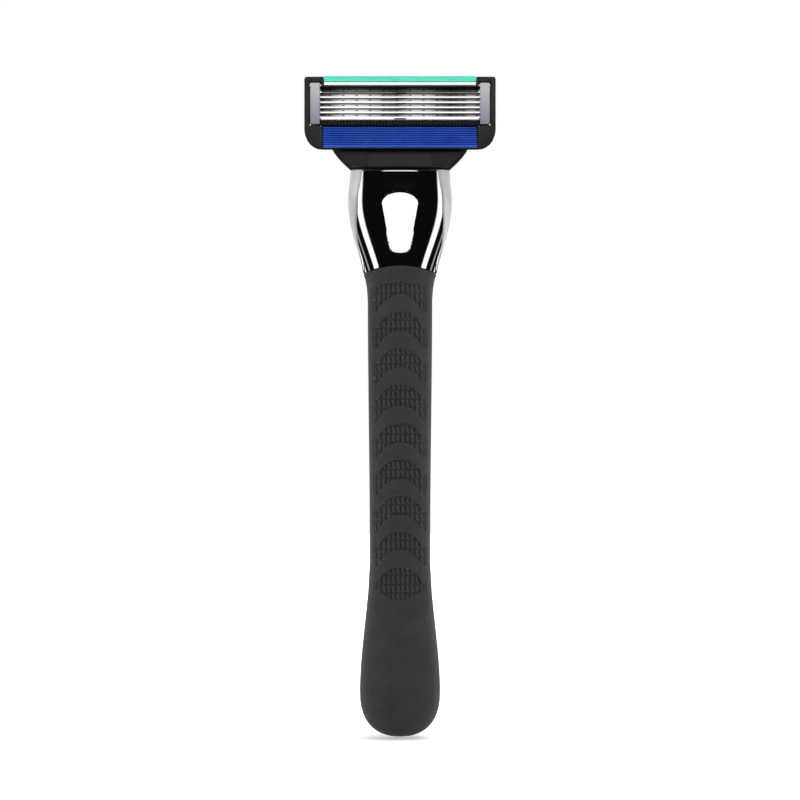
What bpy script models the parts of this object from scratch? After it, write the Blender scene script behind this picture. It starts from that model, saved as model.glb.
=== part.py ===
"""Cartridge razor: handle, release button and a pivoting cartridge of six blades.

All sizes below are millimetres. The handle stands along +Z with its butt down.
The thumb side faces -Y and the blade side faces +Y. X runs along the blades.
Heights are measured up from the butt, and the origin is at the middle of the grip.
"""

import math

import bmesh
import bpy
from mathutils import Matrix, Vector

MM = 0.001

# Clearances
GAP = 0.3  # between two seated pieces
FINE_GAP = 0.1  # between two thin pieces that lie together
RUNNING_GAP = 0.05  # radial, round a pin

# Handle outline
HANDLE_LENGTH = 126.0
GRIP_MIDDLE = 79.0
BULB_HEIGHT = 10.0
WAIST_HEIGHT = 40.0
NECK_LENGTH = 29.0
WIDEST_DROP = 6.9  # from the top of the neck to its widest place
BULB_WIDTH = 17.9
WAIST_WIDTH = 13.5
SHOULDER_WIDTH = 14.4
NECK_WIDTH = 23.2
NECK_TOP_WIDTH = 22.0
BULB_DEPTH = 15.5
WAIST_DEPTH = 12.2
SHOULDER_DEPTH = 11.2
NECK_DEPTH = 9.0
NECK_TOP_DEPTH = 8.0
BOW_HEIGHT = 65.0  # where the handle bows furthest to the thumb side
BUTT_LEAN = 2.0
NECK_LEAN = 3.2
SQUARENESS = 2.2  # exponent of the handle's section
BUTT_SQUARENESS = 2.4
NECK_SPLIT = 2.6  # how far the seam moves to the blade side at the neck
SEAM_DROP = 22.0  # from the top of the neck to the rubber grip
UNDERSIDE_WALL = 1.8
BUTT_WALL = 2.0  # further wall under the core at the butt

# Chrome plate on the thumb side
PLATE_THICKNESS = 1.2
PLATE_START = 2.2
PLATE_END_ROUND = 6.3
PLATE_BULB_WIDTH = 13.3
PLATE_WAIST_WIDTH = 12.0
PLATE_NECK_WIDTH = 20.8
PLATE_TOP_WIDTH = 19.4

# Blind recess in the plate
RECESS_TOP_DROP = 16.5
RECESS_HEIGHT = 9.5
RECESS_TOP_WIDTH = 10.8
RECESS_BOTTOM_WIDTH = 6.8
RECESS_DEPTH = 0.6

# Thumb pad
PAD_TOP_DROP = 33.6
PAD_LENGTH = 28.9
PAD_WIDTH = 10.2
PAD_LIFT = 0.9
PAD_THICKNESS = 2.4
RING_WALL = 0.95
RING_LIFT = 0.7

# Finger dish in the neck's underside
DISH_TOP_DROP = 4.7
DISH_LENGTH = 13.4
DISH_TOP_WIDTH = 8.4
DISH_BOTTOM_WIDTH = 4.8
DISH_DEPTH = 1.2

# Release button
BUTTON_DROP = 5.6  # its centre below the top of the neck
BEZEL_WIDTH = 15.1
BEZEL_HEIGHT = 16.3
BEZEL_WALL = 0.95
BEZEL_CORNER = 6.0
BEZEL_FACE = -3.5
BEZEL_BACK = -0.3
BUTTON_FACE = -4.2
BUTTON_THICKNESS = 2.6
BUTTON_TRAVEL = 1.2
BUTTON_PAD_SIZE = 8.0
BUTTON_PAD_CORNER = 3.2
BUTTON_PAD_THICKNESS = 0.8
BUTTON_PAD_INSET = 0.3
STEM_WIDTH = 3.0
STEM_DROP = 12.4  # its lower side, below the top of the neck
STEM_HEIGHT = 2.4
STEM_TIP = 1.2
STEM_RAMP = 1.6  # height of the ramp that lifts the pusher
POCKET_WIDTH = 14.4
POCKET_DROP = 17.5
POCKET_FLOOR = 4.1

# Pusher
PUSHER_FACE = 2.6
PUSHER_THICKNESS = 1.2
PUSHER_WIDTH = 9.2
PUSHER_TOP_DROP = 8.8
PRONG_WIDTH = 1.6

# Docking nose and connector
NOSE_WIDTH = 11.4
NOSE_BACK = 0.9
NOSE_FRONT = 5.1
NOSE_FOOT_DROP = 5.0
NOSE_LENGTH = 9.6
NOSE_FLOOR = 0.8  # under the plunger's channel
CONNECTOR_BACK = 0.1
CONNECTOR_FRONT = 7.4
CONNECTOR_TOP_WIDTH = 31.2
CONNECTOR_BASE_WIDTH = 22.2
CONNECTOR_RIM = 2.4  # height of the straight sides above the half-round
CONNECTOR_SPLIT = 0.8  # from the pivot to the front of the skirt's back part
SKIRT_STEP = 0.6  # the front of the skirt is this much narrower on each side
SKIRT_RISE = 0.2  # and starts this much higher

# Pivot
PIVOT_Y = 4.0
PIVOT_RISE = 9.5  # above the top of the neck
PIN_RADIUS = 0.6
LUG_RADIUS = 1.4
LUG_THICKNESS = 2.0
LUG_OFFSET = 8.0
CHEEK_THICKNESS = 1.5
CHEEK_RADIUS = 1.2
CAM_OFFSET = 2.0
CAM_RADIUS = 0.6
CAM_WIDTH = 1.8
CAM_GAP = 0.08  # between the cam and the plunger's tip
PLUNGER_WIDTH = 2.2
PLUNGER_THICKNESS = 1.2
PLUNGER_LENGTH = 9.2

# Springs
SPRING_WIRE = 0.24
PLUNGER_SPRING_RADIUS = 0.45
BUTTON_SPRING_RADIUS = 0.7
SPRING_TURNS = 6

# Cartridge, measured from the pivot: Y towards the skin, Z towards the strip
CARTRIDGE_WIDTH = 42.0
CARTRIDGE_BOTTOM = -5.1
CARTRIDGE_BACK = 1.6
CARTRIDGE_THICKNESS = 6.0
TOP_CORNER = 0.6
BOTTOM_CORNER = 3.8
BLADE_COUNT = 6
BLADE_LENGTH = 36.8
BLADE_PITCH = 1.115
LOWEST_EDGE = 1.36
EDGE_RECESS = 0.65  # from the frame's front face to the edges
BLADE_ANGLE = math.radians(22.0)
BLADE_WIDTH = 1.25
BLADE_THICKNESS = 0.1
GRIND = 0.3  # width of the ground bevel
SUPPORT_START = 0.45
SUPPORT_THICKNESS = 0.25
LEG_THICKNESS = 0.45
LEG_DEPTH = 2.9
CENTRE_RIB = 2.6
BACK_WALL = 1.5
WINDOW_BOTTOM = 0.85
CLIP_WIDTH = 2.1
CLIP_THICKNESS = 0.3
CLIP_HOLD = 0.8  # how far the clips reach over the blades' ends
CLIP_STAND = 0.1  # the clips' faces stand this proud of the frame
CLIP_RISE = 0.85  # above the blade window
CLIP_BOTTOM = 0.0
UPPER_TAB = 3.6
LOWER_TAB = 3.2
GUARD_BAR = 0.2
GUARD_WIDTH = 34.0
GUARD_TOP = -0.55
GUARD_BOTTOM = -5.0
GUARD_DEPTH = 1.9
GUARD_CROWN = 0.3  # how far the guard's front falls back at its edges
FIN_COUNT = 9
FIN_HEIGHT = 0.45
FIN_CROWN = (0.35, 0.65)  # where a fin's flat top starts and ends, within its pitch
COMB_WIDTH = 35.4
COMB_TOP = 0.75
COMB_BOTTOM = -0.25
COMB_PITCH = 0.72
TOOTH_SHARES = (0.25, 0.6, 0.85)  # where a tooth reaches full height, falls and ends, within its pitch
COMB_DEPTH = 1.5
COMB_BAR = 0.7  # solid bar behind the teeth
COMB_RECESS = 0.2  # from the frame's front to the teeth
STRIP_WIDTH = 33.4
STRIP_HEIGHT = 2.05
STRIP_BAR = 0.35  # wall between the blade window and the strip
STRIP_RISE = 0.2  # above the frame's top
STRIP_LEDGE = 0.7
STRIP_SEAT = 3.3  # how far the strip's pocket goes back from the front face
STRIP_BULGE = 0.3
STRIP_BASE_WALL = 0.7
STRIP_ROUNDING = (0.2, 0.3, 0.5)  # lower chamfer's depth and height, and the upper one
RAIL_SLOT_PLACES = (-13.5, -4.1, 4.1, 13.5)
RAIL_SLOT_WIDTH = 4.3
RAIL_SLOT_HEIGHT = 0.75
RAIL_SLOT_RISE = 0.9  # middle of the slots above the strip's lower side

# Worked out from the sizes above
SHOULDER = HANDLE_LENGTH - NECK_LENGTH
WIDEST = HANDLE_LENGTH - WIDEST_DROP
SEAM = HANDLE_LENGTH - SEAM_DROP
BUTTON_Z = HANDLE_LENGTH - BUTTON_DROP
PIVOT_Z = HANDLE_LENGTH + PIVOT_RISE
CARTRIDGE_FRONT = CARTRIDGE_BACK + CARTRIDGE_THICKNESS
WINDOW_HALF = BLADE_LENGTH / 2 + GAP
CLIP_INNER_EDGE = BLADE_LENGTH / 2 - CLIP_HOLD
HIGHEST_EDGE = LOWEST_EDGE + (BLADE_COUNT - 1) * BLADE_PITCH
WINDOW_TOP = HIGHEST_EDGE + BLADE_WIDTH * math.cos(BLADE_ANGLE) + FINE_GAP
CLIP_TOP = WINDOW_TOP + CLIP_RISE
STRIP_BOTTOM = WINDOW_TOP + STRIP_BAR
STRIP_TOP = STRIP_BOTTOM + STRIP_HEIGHT
CARTRIDGE_TOP = STRIP_TOP - STRIP_RISE
RAIL_SLOT_Z = STRIP_BOTTOM + RAIL_SLOT_RISE
EDGE_Y = CARTRIDGE_FRONT - EDGE_RECESS
ABOVE_ALL = 40.0  # reach of a cutter past everything
PAST = 2.0  # how far a short cutter runs past the face it opens
COVER_LIFT = 3.0  # how far a curved cutter stands above the surface
COVER_DEPTH = 4.0  # and goes below it
SLOT_OVERLAP = 0.01  # so that two cutters that share a face cut as one
ROOT_OVERLAP = 0.4  # how far an added solid sinks into what it grows from


def clear_scene():
    for item in list(bpy.data.objects):
        bpy.data.objects.remove(item)


def smooth_step(share):
    share = min(max(share, 0.0), 1.0)
    return share * share * (3 - 2 * share)


def along(height, keys):
    """Value at a height, easing from each (height, value) to the next."""
    for (low, start), (high, end) in zip(keys, keys[1:]):
        if height <= high:
            return start + (end - start) * smooth_step((height - low) / (high - low))
    return keys[-1][1]


def butt_rounding(height):
    short = max(0.0, 1 - height / BULB_HEIGHT)
    return (1 - short**BUTT_SQUARENESS) ** (1 / BUTT_SQUARENESS)


def handle_width(height):
    keys = (
        (BULB_HEIGHT, BULB_WIDTH),
        (WAIST_HEIGHT, WAIST_WIDTH),
        (SHOULDER, SHOULDER_WIDTH),
        (WIDEST, NECK_WIDTH),
        (HANDLE_LENGTH, NECK_TOP_WIDTH),
    )
    return along(height, keys) * butt_rounding(height)


def handle_depth(height):
    keys = (
        (BULB_HEIGHT, BULB_DEPTH),
        (WAIST_HEIGHT, WAIST_DEPTH),
        (SHOULDER, SHOULDER_DEPTH),
        (WIDEST, NECK_DEPTH),
        (HANDLE_LENGTH, NECK_TOP_DEPTH),
    )
    return along(height, keys) * butt_rounding(height)


def centre_y(height):
    """The handle's middle line bows to the thumb side between butt and neck."""
    if height < BOW_HEIGHT:
        return BUTT_LEAN * (1 - height / BOW_HEIGHT) ** 2
    return NECK_LEAN * ((height - BOW_HEIGHT) / (HANDLE_LENGTH - BOW_HEIGHT)) ** 2


def seam_y(height):
    """Seam between the thumb side and the blade side, from the middle line."""
    return along(height, ((SHOULDER, 0.0), (WIDEST, NECK_SPLIT)))


def plate_half_width(height):
    keys = (
        (BULB_HEIGHT, PLATE_BULB_WIDTH),
        (WAIST_HEIGHT, PLATE_WAIST_WIDTH),
        (SHOULDER, PLATE_WAIST_WIDTH),
        (WIDEST, PLATE_NECK_WIDTH),
        (HANDLE_LENGTH, PLATE_TOP_WIDTH),
    )
    short = max(0.0, 1 - (height - PLATE_START) / PLATE_END_ROUND)
    return along(height, keys) / 2 * math.sqrt(max(0.0, 1 - short**2))


def section_point(height, turn, offset=0.0):
    """Point of the handle's rounded section; the offset moves it outwards."""
    half_width = handle_width(height) / 2 + offset
    half_depth = handle_depth(height) / 2 + offset
    across, deep = math.cos(turn), math.sin(turn)
    power = 2 / SQUARENESS
    return (
        math.copysign(abs(across) ** power, across) * half_width,
        math.copysign(abs(deep) ** power, deep) * half_depth,
    )


def thumb_surface(x, height):
    """Y of the handle's thumb side at x."""
    share = min(abs(x) / (handle_width(height) / 2), 1.0)
    return centre_y(height) - handle_depth(height) / 2 * (1 - share**SQUARENESS) ** (1 / SQUARENESS)


def steps(start, end, count):
    return [start + (end - start) * index / (count - 1) for index in range(count)]


def new_object(name, mesh_data):
    """Object from a bmesh in millimetres, with flat sides and smooth round ones."""
    bmesh.ops.remove_doubles(mesh_data, verts=mesh_data.verts, dist=0.0005)
    bmesh.ops.recalc_face_normals(mesh_data, faces=mesh_data.faces)
    bmesh.ops.scale(mesh_data, vec=(MM, MM, MM), verts=mesh_data.verts)
    mesh = bpy.data.meshes.new(name)
    mesh_data.to_mesh(mesh)
    mesh_data.free()
    mesh.shade_smooth()
    mesh.set_sharp_from_angle(angle=math.radians(30))
    item = bpy.data.objects.new(name, mesh)
    bpy.context.scene.collection.objects.link(item)
    return item


def loft(name, sections):
    """Closed solid through sections that all have the same number of points."""
    mesh_data = bmesh.new()
    rings = [[mesh_data.verts.new(point) for point in section] for section in sections]
    count = len(rings[0])
    for low, high in zip(rings, rings[1:]):
        for index in range(count):
            after = (index + 1) % count
            mesh_data.faces.new((low[index], low[after], high[after], high[index]))
    caps = [mesh_data.faces.new(rings[0]), mesh_data.faces.new(rings[-1])]
    mesh_data.normal_update()  # a new face has no normal, and ear clipping needs it
    bmesh.ops.triangulate(mesh_data, faces=caps, ngon_method="EAR_CLIP")
    return new_object(name, mesh_data)


def prism(name, outline, axis, low, high):
    """Outline drawn in the two other axes (in X, Y, Z order), extruded along axis."""

    def place(point, level):
        if axis == "X":
            return (level, point[0], point[1])
        if axis == "Y":
            return (point[0], level, point[1])
        return (point[0], point[1], level)

    return loft(name, [[place(point, level) for point in outline] for level in (low, high)])


def box(name, x, y, z):
    return prism(name, ((x[0], y[0]), (x[1], y[0]), (x[1], y[1]), (x[0], y[1])), "Z", *z)


def round_bar(name, centre, radius, x, sides=24):
    """Round bar along X; centre is its (y, z)."""
    outline = []
    for index in range(sides):
        turn = 2 * math.pi * index / sides
        outline.append((centre[0] + radius * math.cos(turn), centre[1] + radius * math.sin(turn)))
    return prism(name, outline, "X", *x)


def rounded_outline(width, height, corner, centre=(0.0, 0.0), per_corner=6):
    """Rectangle with round corners."""
    points = []
    for quarter in range(4):
        sign_x = 1 if quarter in (0, 3) else -1
        sign_y = 1 if quarter in (0, 1) else -1
        middle_x = centre[0] + sign_x * (width / 2 - corner)
        middle_y = centre[1] + sign_y * (height / 2 - corner)
        for index in range(per_corner):
            turn = math.pi / 2 * (quarter + index / (per_corner - 1))
            points.append((middle_x + corner * math.cos(turn), middle_y + corner * math.sin(turn)))
    return points


def combine(item, others, operation):
    """Adds or cuts the other objects, and leaves them hidden as guides."""
    for other in others:
        modifier = item.modifiers.new(f"{operation.lower()} {other.name}", "BOOLEAN")
        modifier.operation = operation
        modifier.solver = "EXACT"
        modifier.object = other
        other.hide_render = True
        other.display_type = "WIRE"
        other.parent = item


def cut(item, *cutters):
    combine(item, cutters, "DIFFERENCE")


def join(item, *additions):
    combine(item, additions, "UNION")


def handle_heights(low, high):
    """Section heights: close together at the round butt and up the neck."""
    wanted = [0.02, 0.25, 0.8, 1.7, 3.0, 4.8, 7.2]
    wanted += steps(BULB_HEIGHT, SHOULDER, 13)
    wanted += steps(SHOULDER, HANDLE_LENGTH, 11)[1:]
    inside = [height for height in wanted if low + 0.4 < height < high - 0.4]
    return [low, *inside, high]


def half_section(height, side, edge, offset=0.0, points=22):
    """The handle's section on one side (+1 blade, -1 thumb) of a level edge."""
    middle = centre_y(height)
    half_depth = handle_depth(height) / 2 + offset
    share = min(max(edge * side / half_depth, -0.95), 0.95)
    start = math.asin(math.copysign(abs(share) ** (SQUARENESS / 2), share))
    outline = []
    for turn in steps(start, math.pi - start, points):
        x, y = section_point(height, turn * side, offset)
        outline.append((x, middle + y, height))
    return outline


def core_section(height, offset):
    return half_section(height, 1, -1.0, -UNDERSIDE_WALL + offset, 18)


def make_handle_body():
    sections = [
        half_section(height, -1, seam_y(height) - GAP / 2) for height in handle_heights(0.02, HANDLE_LENGTH)
    ]
    body = loft("handle_body", sections)
    core_start = UNDERSIDE_WALL + BUTT_WALL
    core_heights = handle_heights(core_start, HANDLE_LENGTH)
    core = loft("guide_core", [core_section(height, -GAP) for height in core_heights])
    channel = cover(
        "guide_channel",
        PLATE_START - GAP,
        HANDLE_LENGTH + PAST,
        plate_channel_half,
        COVER_LIFT,
        PLATE_THICKNESS + GAP,
    )
    pocket = box(
        "guide_pocket",
        (-POCKET_WIDTH / 2, POCKET_WIDTH / 2),
        (-ABOVE_ALL, POCKET_FLOOR),
        (HANDLE_LENGTH - POCKET_DROP, HANDLE_LENGTH - NOSE_FOOT_DROP - GAP),
    )
    half_slot = NOSE_WIDTH / 2 + GAP
    slot_foot = HANDLE_LENGTH - NOSE_FOOT_DROP - GAP - SLOT_OVERLAP
    slot = box(
        "guide_nose_slot",
        (-half_slot, half_slot),
        (-ABOVE_ALL, ABOVE_ALL),
        (slot_foot, HANDLE_LENGTH + PAST),
    )
    pad_hole = pad_cutter("guide_pad_seat", GAP, PAD_THICKNESS - PAD_LIFT + GAP)
    join(body, core)
    cut(body, channel, pocket, slot, pad_hole)
    return body


def plate_channel_half(height):
    return plate_half_width(max(height, PLATE_START)) + GAP


def cover(name, low, high, half_width, lift, depth, points=13, least=0.5):
    """Curved plate on the thumb side, a lift above and a depth below the handle's surface."""
    heights = handle_heights(low, high)
    heights += [low + step for step in (0.15, 0.6, 1.4, 2.6, 4.2) if low + step < high - 6]
    heights += [high - step for step in (0.15, 0.6, 1.4, 2.6, 4.2) if high - step > low + 6]
    heights = sorted(set(round(height, 3) for height in heights))
    heights = [heights[0]] + [b for a, b in zip(heights, heights[1:]) if b - a > 0.1]
    sections = []
    for height in heights:
        half = max(half_width(height), least)
        level = min(height, HANDLE_LENGTH)
        xs = steps(-half, half, points)
        outer = [(x, thumb_surface(x, level) - lift, height) for x in xs]
        inner = [(x, thumb_surface(x, level) + depth, height) for x in reversed(xs)]
        sections.append(outer + inner)
    return loft(name, sections)


def pad_span(margin):
    top = HANDLE_LENGTH - PAD_TOP_DROP
    return top - PAD_LENGTH - margin, top + margin


def pad_half_width(height, margin):
    """Half width of the long pad with half-round ends, grown by a margin."""
    low, high = pad_span(margin)
    radius = PAD_WIDTH / 2 + margin
    from_end = min(height - low, high - height)
    short = max(0.0, radius - from_end)
    return math.sqrt(max(0.0, radius**2 - short**2))


def pad_cutter(name, margin, depth):
    """Cutter with the thumb pad's outline grown by a margin."""
    return cover(name, *pad_span(margin), lambda height: pad_half_width(height, margin), COVER_LIFT, depth)


def trapezoid(top, height, top_width, bottom_width):
    return [
        (-top_width / 2, top),
        (top_width / 2, top),
        (bottom_width / 2, top - height),
        (-bottom_width / 2, top - height),
    ]


def make_top_plate():
    plate = cover("top_plate", PLATE_START, HANDLE_LENGTH, plate_half_width, 0.0, PLATE_THICKNESS)
    pad_hole = pad_cutter("guide_pad_hole", FINE_GAP, COVER_DEPTH)
    bezel_hole = prism(
        "guide_bezel_hole",
        rounded_outline(BEZEL_WIDTH + 2 * GAP, BEZEL_HEIGHT + 2 * GAP, BEZEL_CORNER + GAP, (0, BUTTON_Z)),
        "Y",
        -ABOVE_ALL,
        ABOVE_ALL,
    )
    recess_top = HANDLE_LENGTH - RECESS_TOP_DROP
    recess_floor = thumb_surface(0, recess_top) + RECESS_DEPTH
    recess = prism(
        "guide_recess",
        trapezoid(recess_top, RECESS_HEIGHT, RECESS_TOP_WIDTH, RECESS_BOTTOM_WIDTH),
        "Y",
        -ABOVE_ALL,
        recess_floor,
    )
    half_nose = NOSE_WIDTH / 2 + GAP
    nose_room = box(
        "guide_nose_room",
        (-half_nose, half_nose),
        (NOSE_BACK - GAP, ABOVE_ALL),
        (HANDLE_LENGTH - NOSE_FOOT_DROP - GAP, HANDLE_LENGTH + PAST),
    )
    cut(plate, pad_hole, recess, bezel_hole, nose_room)
    return plate


def make_thumb_ring():
    margin = RING_WALL
    ring = cover(
        "thumb_ring", *pad_span(margin), lambda height: pad_half_width(height, margin), RING_LIFT, -FINE_GAP
    )
    cut(ring, pad_cutter("guide_ring_inside", FINE_GAP, COVER_DEPTH))
    return ring


def make_thumb_pad():
    sunk = PAD_THICKNESS - PAD_LIFT
    return cover("thumb_pad", *pad_span(0), lambda height: pad_half_width(height, 0), PAD_LIFT, sunk)


def make_underside(name, low, high):
    """Shell on the blade side, hollow where the handle's core runs."""
    heights = handle_heights(low, high)
    shell = loft(name, [half_section(height, 1, seam_y(height) + GAP / 2) for height in heights])
    start = max(low - PAST, UNDERSIDE_WALL + BUTT_WALL - GAP)
    hollow_heights = handle_heights(start, min(high + PAST, HANDLE_LENGTH))
    sections = [core_section(height, 0.0) for height in hollow_heights]
    if high + PAST > HANDLE_LENGTH:
        sections.append([(x, y, high + PAST) for x, y, _ in sections[-1]])
    cut(shell, loft(f"guide_{name}_hollow", sections))
    return shell


def make_neck_plate():
    plate = make_underside("neck_plate", SEAM + GAP / 2, HANDLE_LENGTH)
    top = HANDLE_LENGTH - DISH_TOP_DROP
    front = centre_y(top) + handle_depth(top) / 2
    low_front = centre_y(top - DISH_LENGTH) + handle_depth(top - DISH_LENGTH) / 2
    outline = trapezoid(top, DISH_LENGTH, DISH_TOP_WIDTH, DISH_BOTTOM_WIDTH)
    floor_top = front - DISH_DEPTH
    floor_bottom = low_front - DISH_DEPTH / 3
    inner = [(x, floor_top if z == top else floor_bottom, z) for x, z in outline]
    outer = [(x, ABOVE_ALL, z) for x, z in outline]
    cut(plate, loft("guide_dish", [inner, outer]))
    return plate


def make_button():
    bezel = prism(
        "button_bezel",
        rounded_outline(BEZEL_WIDTH, BEZEL_HEIGHT, BEZEL_CORNER, (0, BUTTON_Z)),
        "Y",
        BEZEL_FACE,
        BEZEL_BACK,
    )
    inner_width = BEZEL_WIDTH - 2 * BEZEL_WALL
    inner_height = BEZEL_HEIGHT - 2 * BEZEL_WALL
    inner_corner = BEZEL_CORNER - BEZEL_WALL
    bezel_hole = prism(
        "guide_bezel_inside",
        rounded_outline(inner_width, inner_height, inner_corner, (0, BUTTON_Z)),
        "Y",
        -ABOVE_ALL,
        ABOVE_ALL,
    )
    cut(bezel, bezel_hole)
    cap = prism(
        "button_cap",
        rounded_outline(inner_width - 2 * GAP, inner_height - 2 * GAP, inner_corner - GAP, (0, BUTTON_Z)),
        "Y",
        BUTTON_FACE,
        BUTTON_FACE + BUTTON_THICKNESS,
    )
    seat_size = BUTTON_PAD_SIZE + 2 * FINE_GAP
    pad_seat = prism(
        "guide_button_seat",
        rounded_outline(seat_size, seat_size, BUTTON_PAD_CORNER + FINE_GAP, (0, BUTTON_Z)),
        "Y",
        -ABOVE_ALL,
        BUTTON_FACE + BUTTON_PAD_INSET + BUTTON_PAD_THICKNESS + FINE_GAP,
    )
    stem_low = HANDLE_LENGTH - STEM_DROP
    stem_high = stem_low + STEM_HEIGHT
    stem_root = BUTTON_FACE + BUTTON_THICKNESS - ROOT_OVERLAP
    stem_outline = (
        (stem_root, stem_low),
        (STEM_TIP, stem_low),
        (STEM_TIP, stem_high - STEM_RAMP),
        (STEM_TIP - STEM_RAMP, stem_high),
        (stem_root, stem_high),
    )
    stem = prism("guide_stem", stem_outline, "X", -STEM_WIDTH / 2, STEM_WIDTH / 2)
    join(cap, stem)
    cut(cap, pad_seat)
    pad = prism(
        "button_pad",
        rounded_outline(BUTTON_PAD_SIZE, BUTTON_PAD_SIZE, BUTTON_PAD_CORNER, (0, BUTTON_Z)),
        "Y",
        BUTTON_FACE + BUTTON_PAD_INSET,
        BUTTON_FACE + BUTTON_PAD_INSET + BUTTON_PAD_THICKNESS,
    )
    return bezel, cap, pad


def make_pusher():
    """Fork that the button's ramp drives up towards the connector."""
    stem_low = HANDLE_LENGTH - STEM_DROP
    ramp = STEM_TIP + stem_low + STEM_HEIGHT - STEM_RAMP + 1.5 * FINE_GAP
    top = HANDLE_LENGTH - PUSHER_TOP_DROP
    back = PUSHER_FACE + PUSHER_THICKNESS
    half = PUSHER_WIDTH / 2
    plate = box("pusher", (-half, half), (PUSHER_FACE, back), (ramp - PUSHER_FACE, top))
    ceiling = PIVOT_Z - PIVOT_RISE + NOSE_LENGTH - NOSE_FOOT_DROP + GAP
    prong_top = ceiling - GAP - BUTTON_TRAVEL
    prongs = []
    for sign in (-1, 1):
        edges = sorted((sign * half, sign * (half - PRONG_WIDTH)))
        prongs.append(box(f"guide_prong_{sign}", edges, (PUSHER_FACE, back), (top - ROOT_OVERLAP, prong_top)))
    rib_face = BUTTON_FACE + BUTTON_THICKNESS + BUTTON_TRAVEL + GAP
    rib_overlap = ROOT_OVERLAP / 2
    rib_outline = (
        (rib_face, ramp - rib_face),
        (rib_face, top),
        (PUSHER_FACE + rib_overlap, top),
        (PUSHER_FACE + rib_overlap, ramp - PUSHER_FACE - rib_overlap),
    )
    rib = prism("guide_ramp", rib_outline, "X", -STEM_WIDTH / 2, STEM_WIDTH / 2)
    join(plate, rib, *prongs)
    return plate


def make_nose():
    """Block that the connector slides on, with channels for the plunger and the prongs."""
    foot = HANDLE_LENGTH - NOSE_FOOT_DROP
    half = NOSE_WIDTH / 2
    nose = box("docking_nose", (-half, half), (NOSE_BACK, NOSE_FRONT), (foot, foot + NOSE_LENGTH))
    plunger_y = PIVOT_Y - CAM_OFFSET
    half_plunger = PLUNGER_WIDTH / 2 + FINE_GAP
    deep = PLUNGER_THICKNESS / 2 + FINE_GAP
    cutters = [
        box(
            "guide_plunger_channel",
            (-half_plunger, half_plunger),
            (plunger_y - deep, plunger_y + deep),
            (foot + NOSE_FLOOR, ABOVE_ALL * 4),
        )
    ]
    for sign in (-1, 1):
        outer = sign * (PUSHER_WIDTH / 2 + GAP)
        inner = sign * (PUSHER_WIDTH / 2 - PRONG_WIDTH - GAP)
        cutters.append(
            box(
                f"guide_prong_channel_{sign}",
                sorted((outer, inner)),
                (PUSHER_FACE - GAP, PUSHER_FACE + PUSHER_THICKNESS + GAP),
                (foot - PAST, ABOVE_ALL * 4),
            )
        )
    cut(nose, *cutters)
    return nose


def plunger_tip():
    return PIVOT_Z - CAM_RADIUS - CAM_GAP


def make_plunger():
    y = PIVOT_Y - CAM_OFFSET
    half = PLUNGER_WIDTH / 2
    deep = PLUNGER_THICKNESS / 2
    top = plunger_tip()
    return box("plunger", (-half, half), (y - deep, y + deep), (top - PLUNGER_LENGTH, top))


def make_spring(name, start, end, radius):
    """Coil spring between two points, as a tube along a helix."""
    axis = Vector(end) - Vector(start)
    length = axis.length
    turn_to_axis = axis.to_track_quat("Z", "X").to_matrix()
    curve = bpy.data.curves.new(name, "CURVE")
    curve.dimensions = "3D"
    curve.bevel_depth = SPRING_WIRE / 2 * MM
    curve.bevel_resolution = 1
    curve.use_fill_caps = True
    count = SPRING_TURNS * 10 + 1
    spline = curve.splines.new("POLY")
    spline.points.add(count - 1)
    for index in range(count):
        share = index / (count - 1)
        turn = 2 * math.pi * SPRING_TURNS * share
        local = Vector((radius * math.cos(turn), radius * math.sin(turn), share * length))
        point = (Vector(start) + turn_to_axis @ local) * MM
        spline.points[index].co = (*point, 1)
    item = bpy.data.objects.new(name, curve)
    bpy.context.scene.collection.objects.link(item)
    return item


def connector_outline(low, high, inset=0.0):
    """Half-round skirt between two heights, widest at the pivot."""
    base = HANDLE_LENGTH + GAP
    top = PIVOT_Z - GAP
    right = []
    curve_top = top - CONNECTOR_RIM
    heights = steps(low, min(high, curve_top), 8)
    if high > curve_top:
        heights.append(high)
    for height in heights:
        rise = min((height - base) / (curve_top - base), 1.0)
        reach = CONNECTOR_BASE_WIDTH / 2 + (CONNECTOR_TOP_WIDTH - CONNECTOR_BASE_WIDTH) / 2 * math.sin(
            rise * math.pi / 2
        )
        right.append((reach - inset, height))
    left = [(-x, height) for x, height in reversed(right)]
    return right + left


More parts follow.
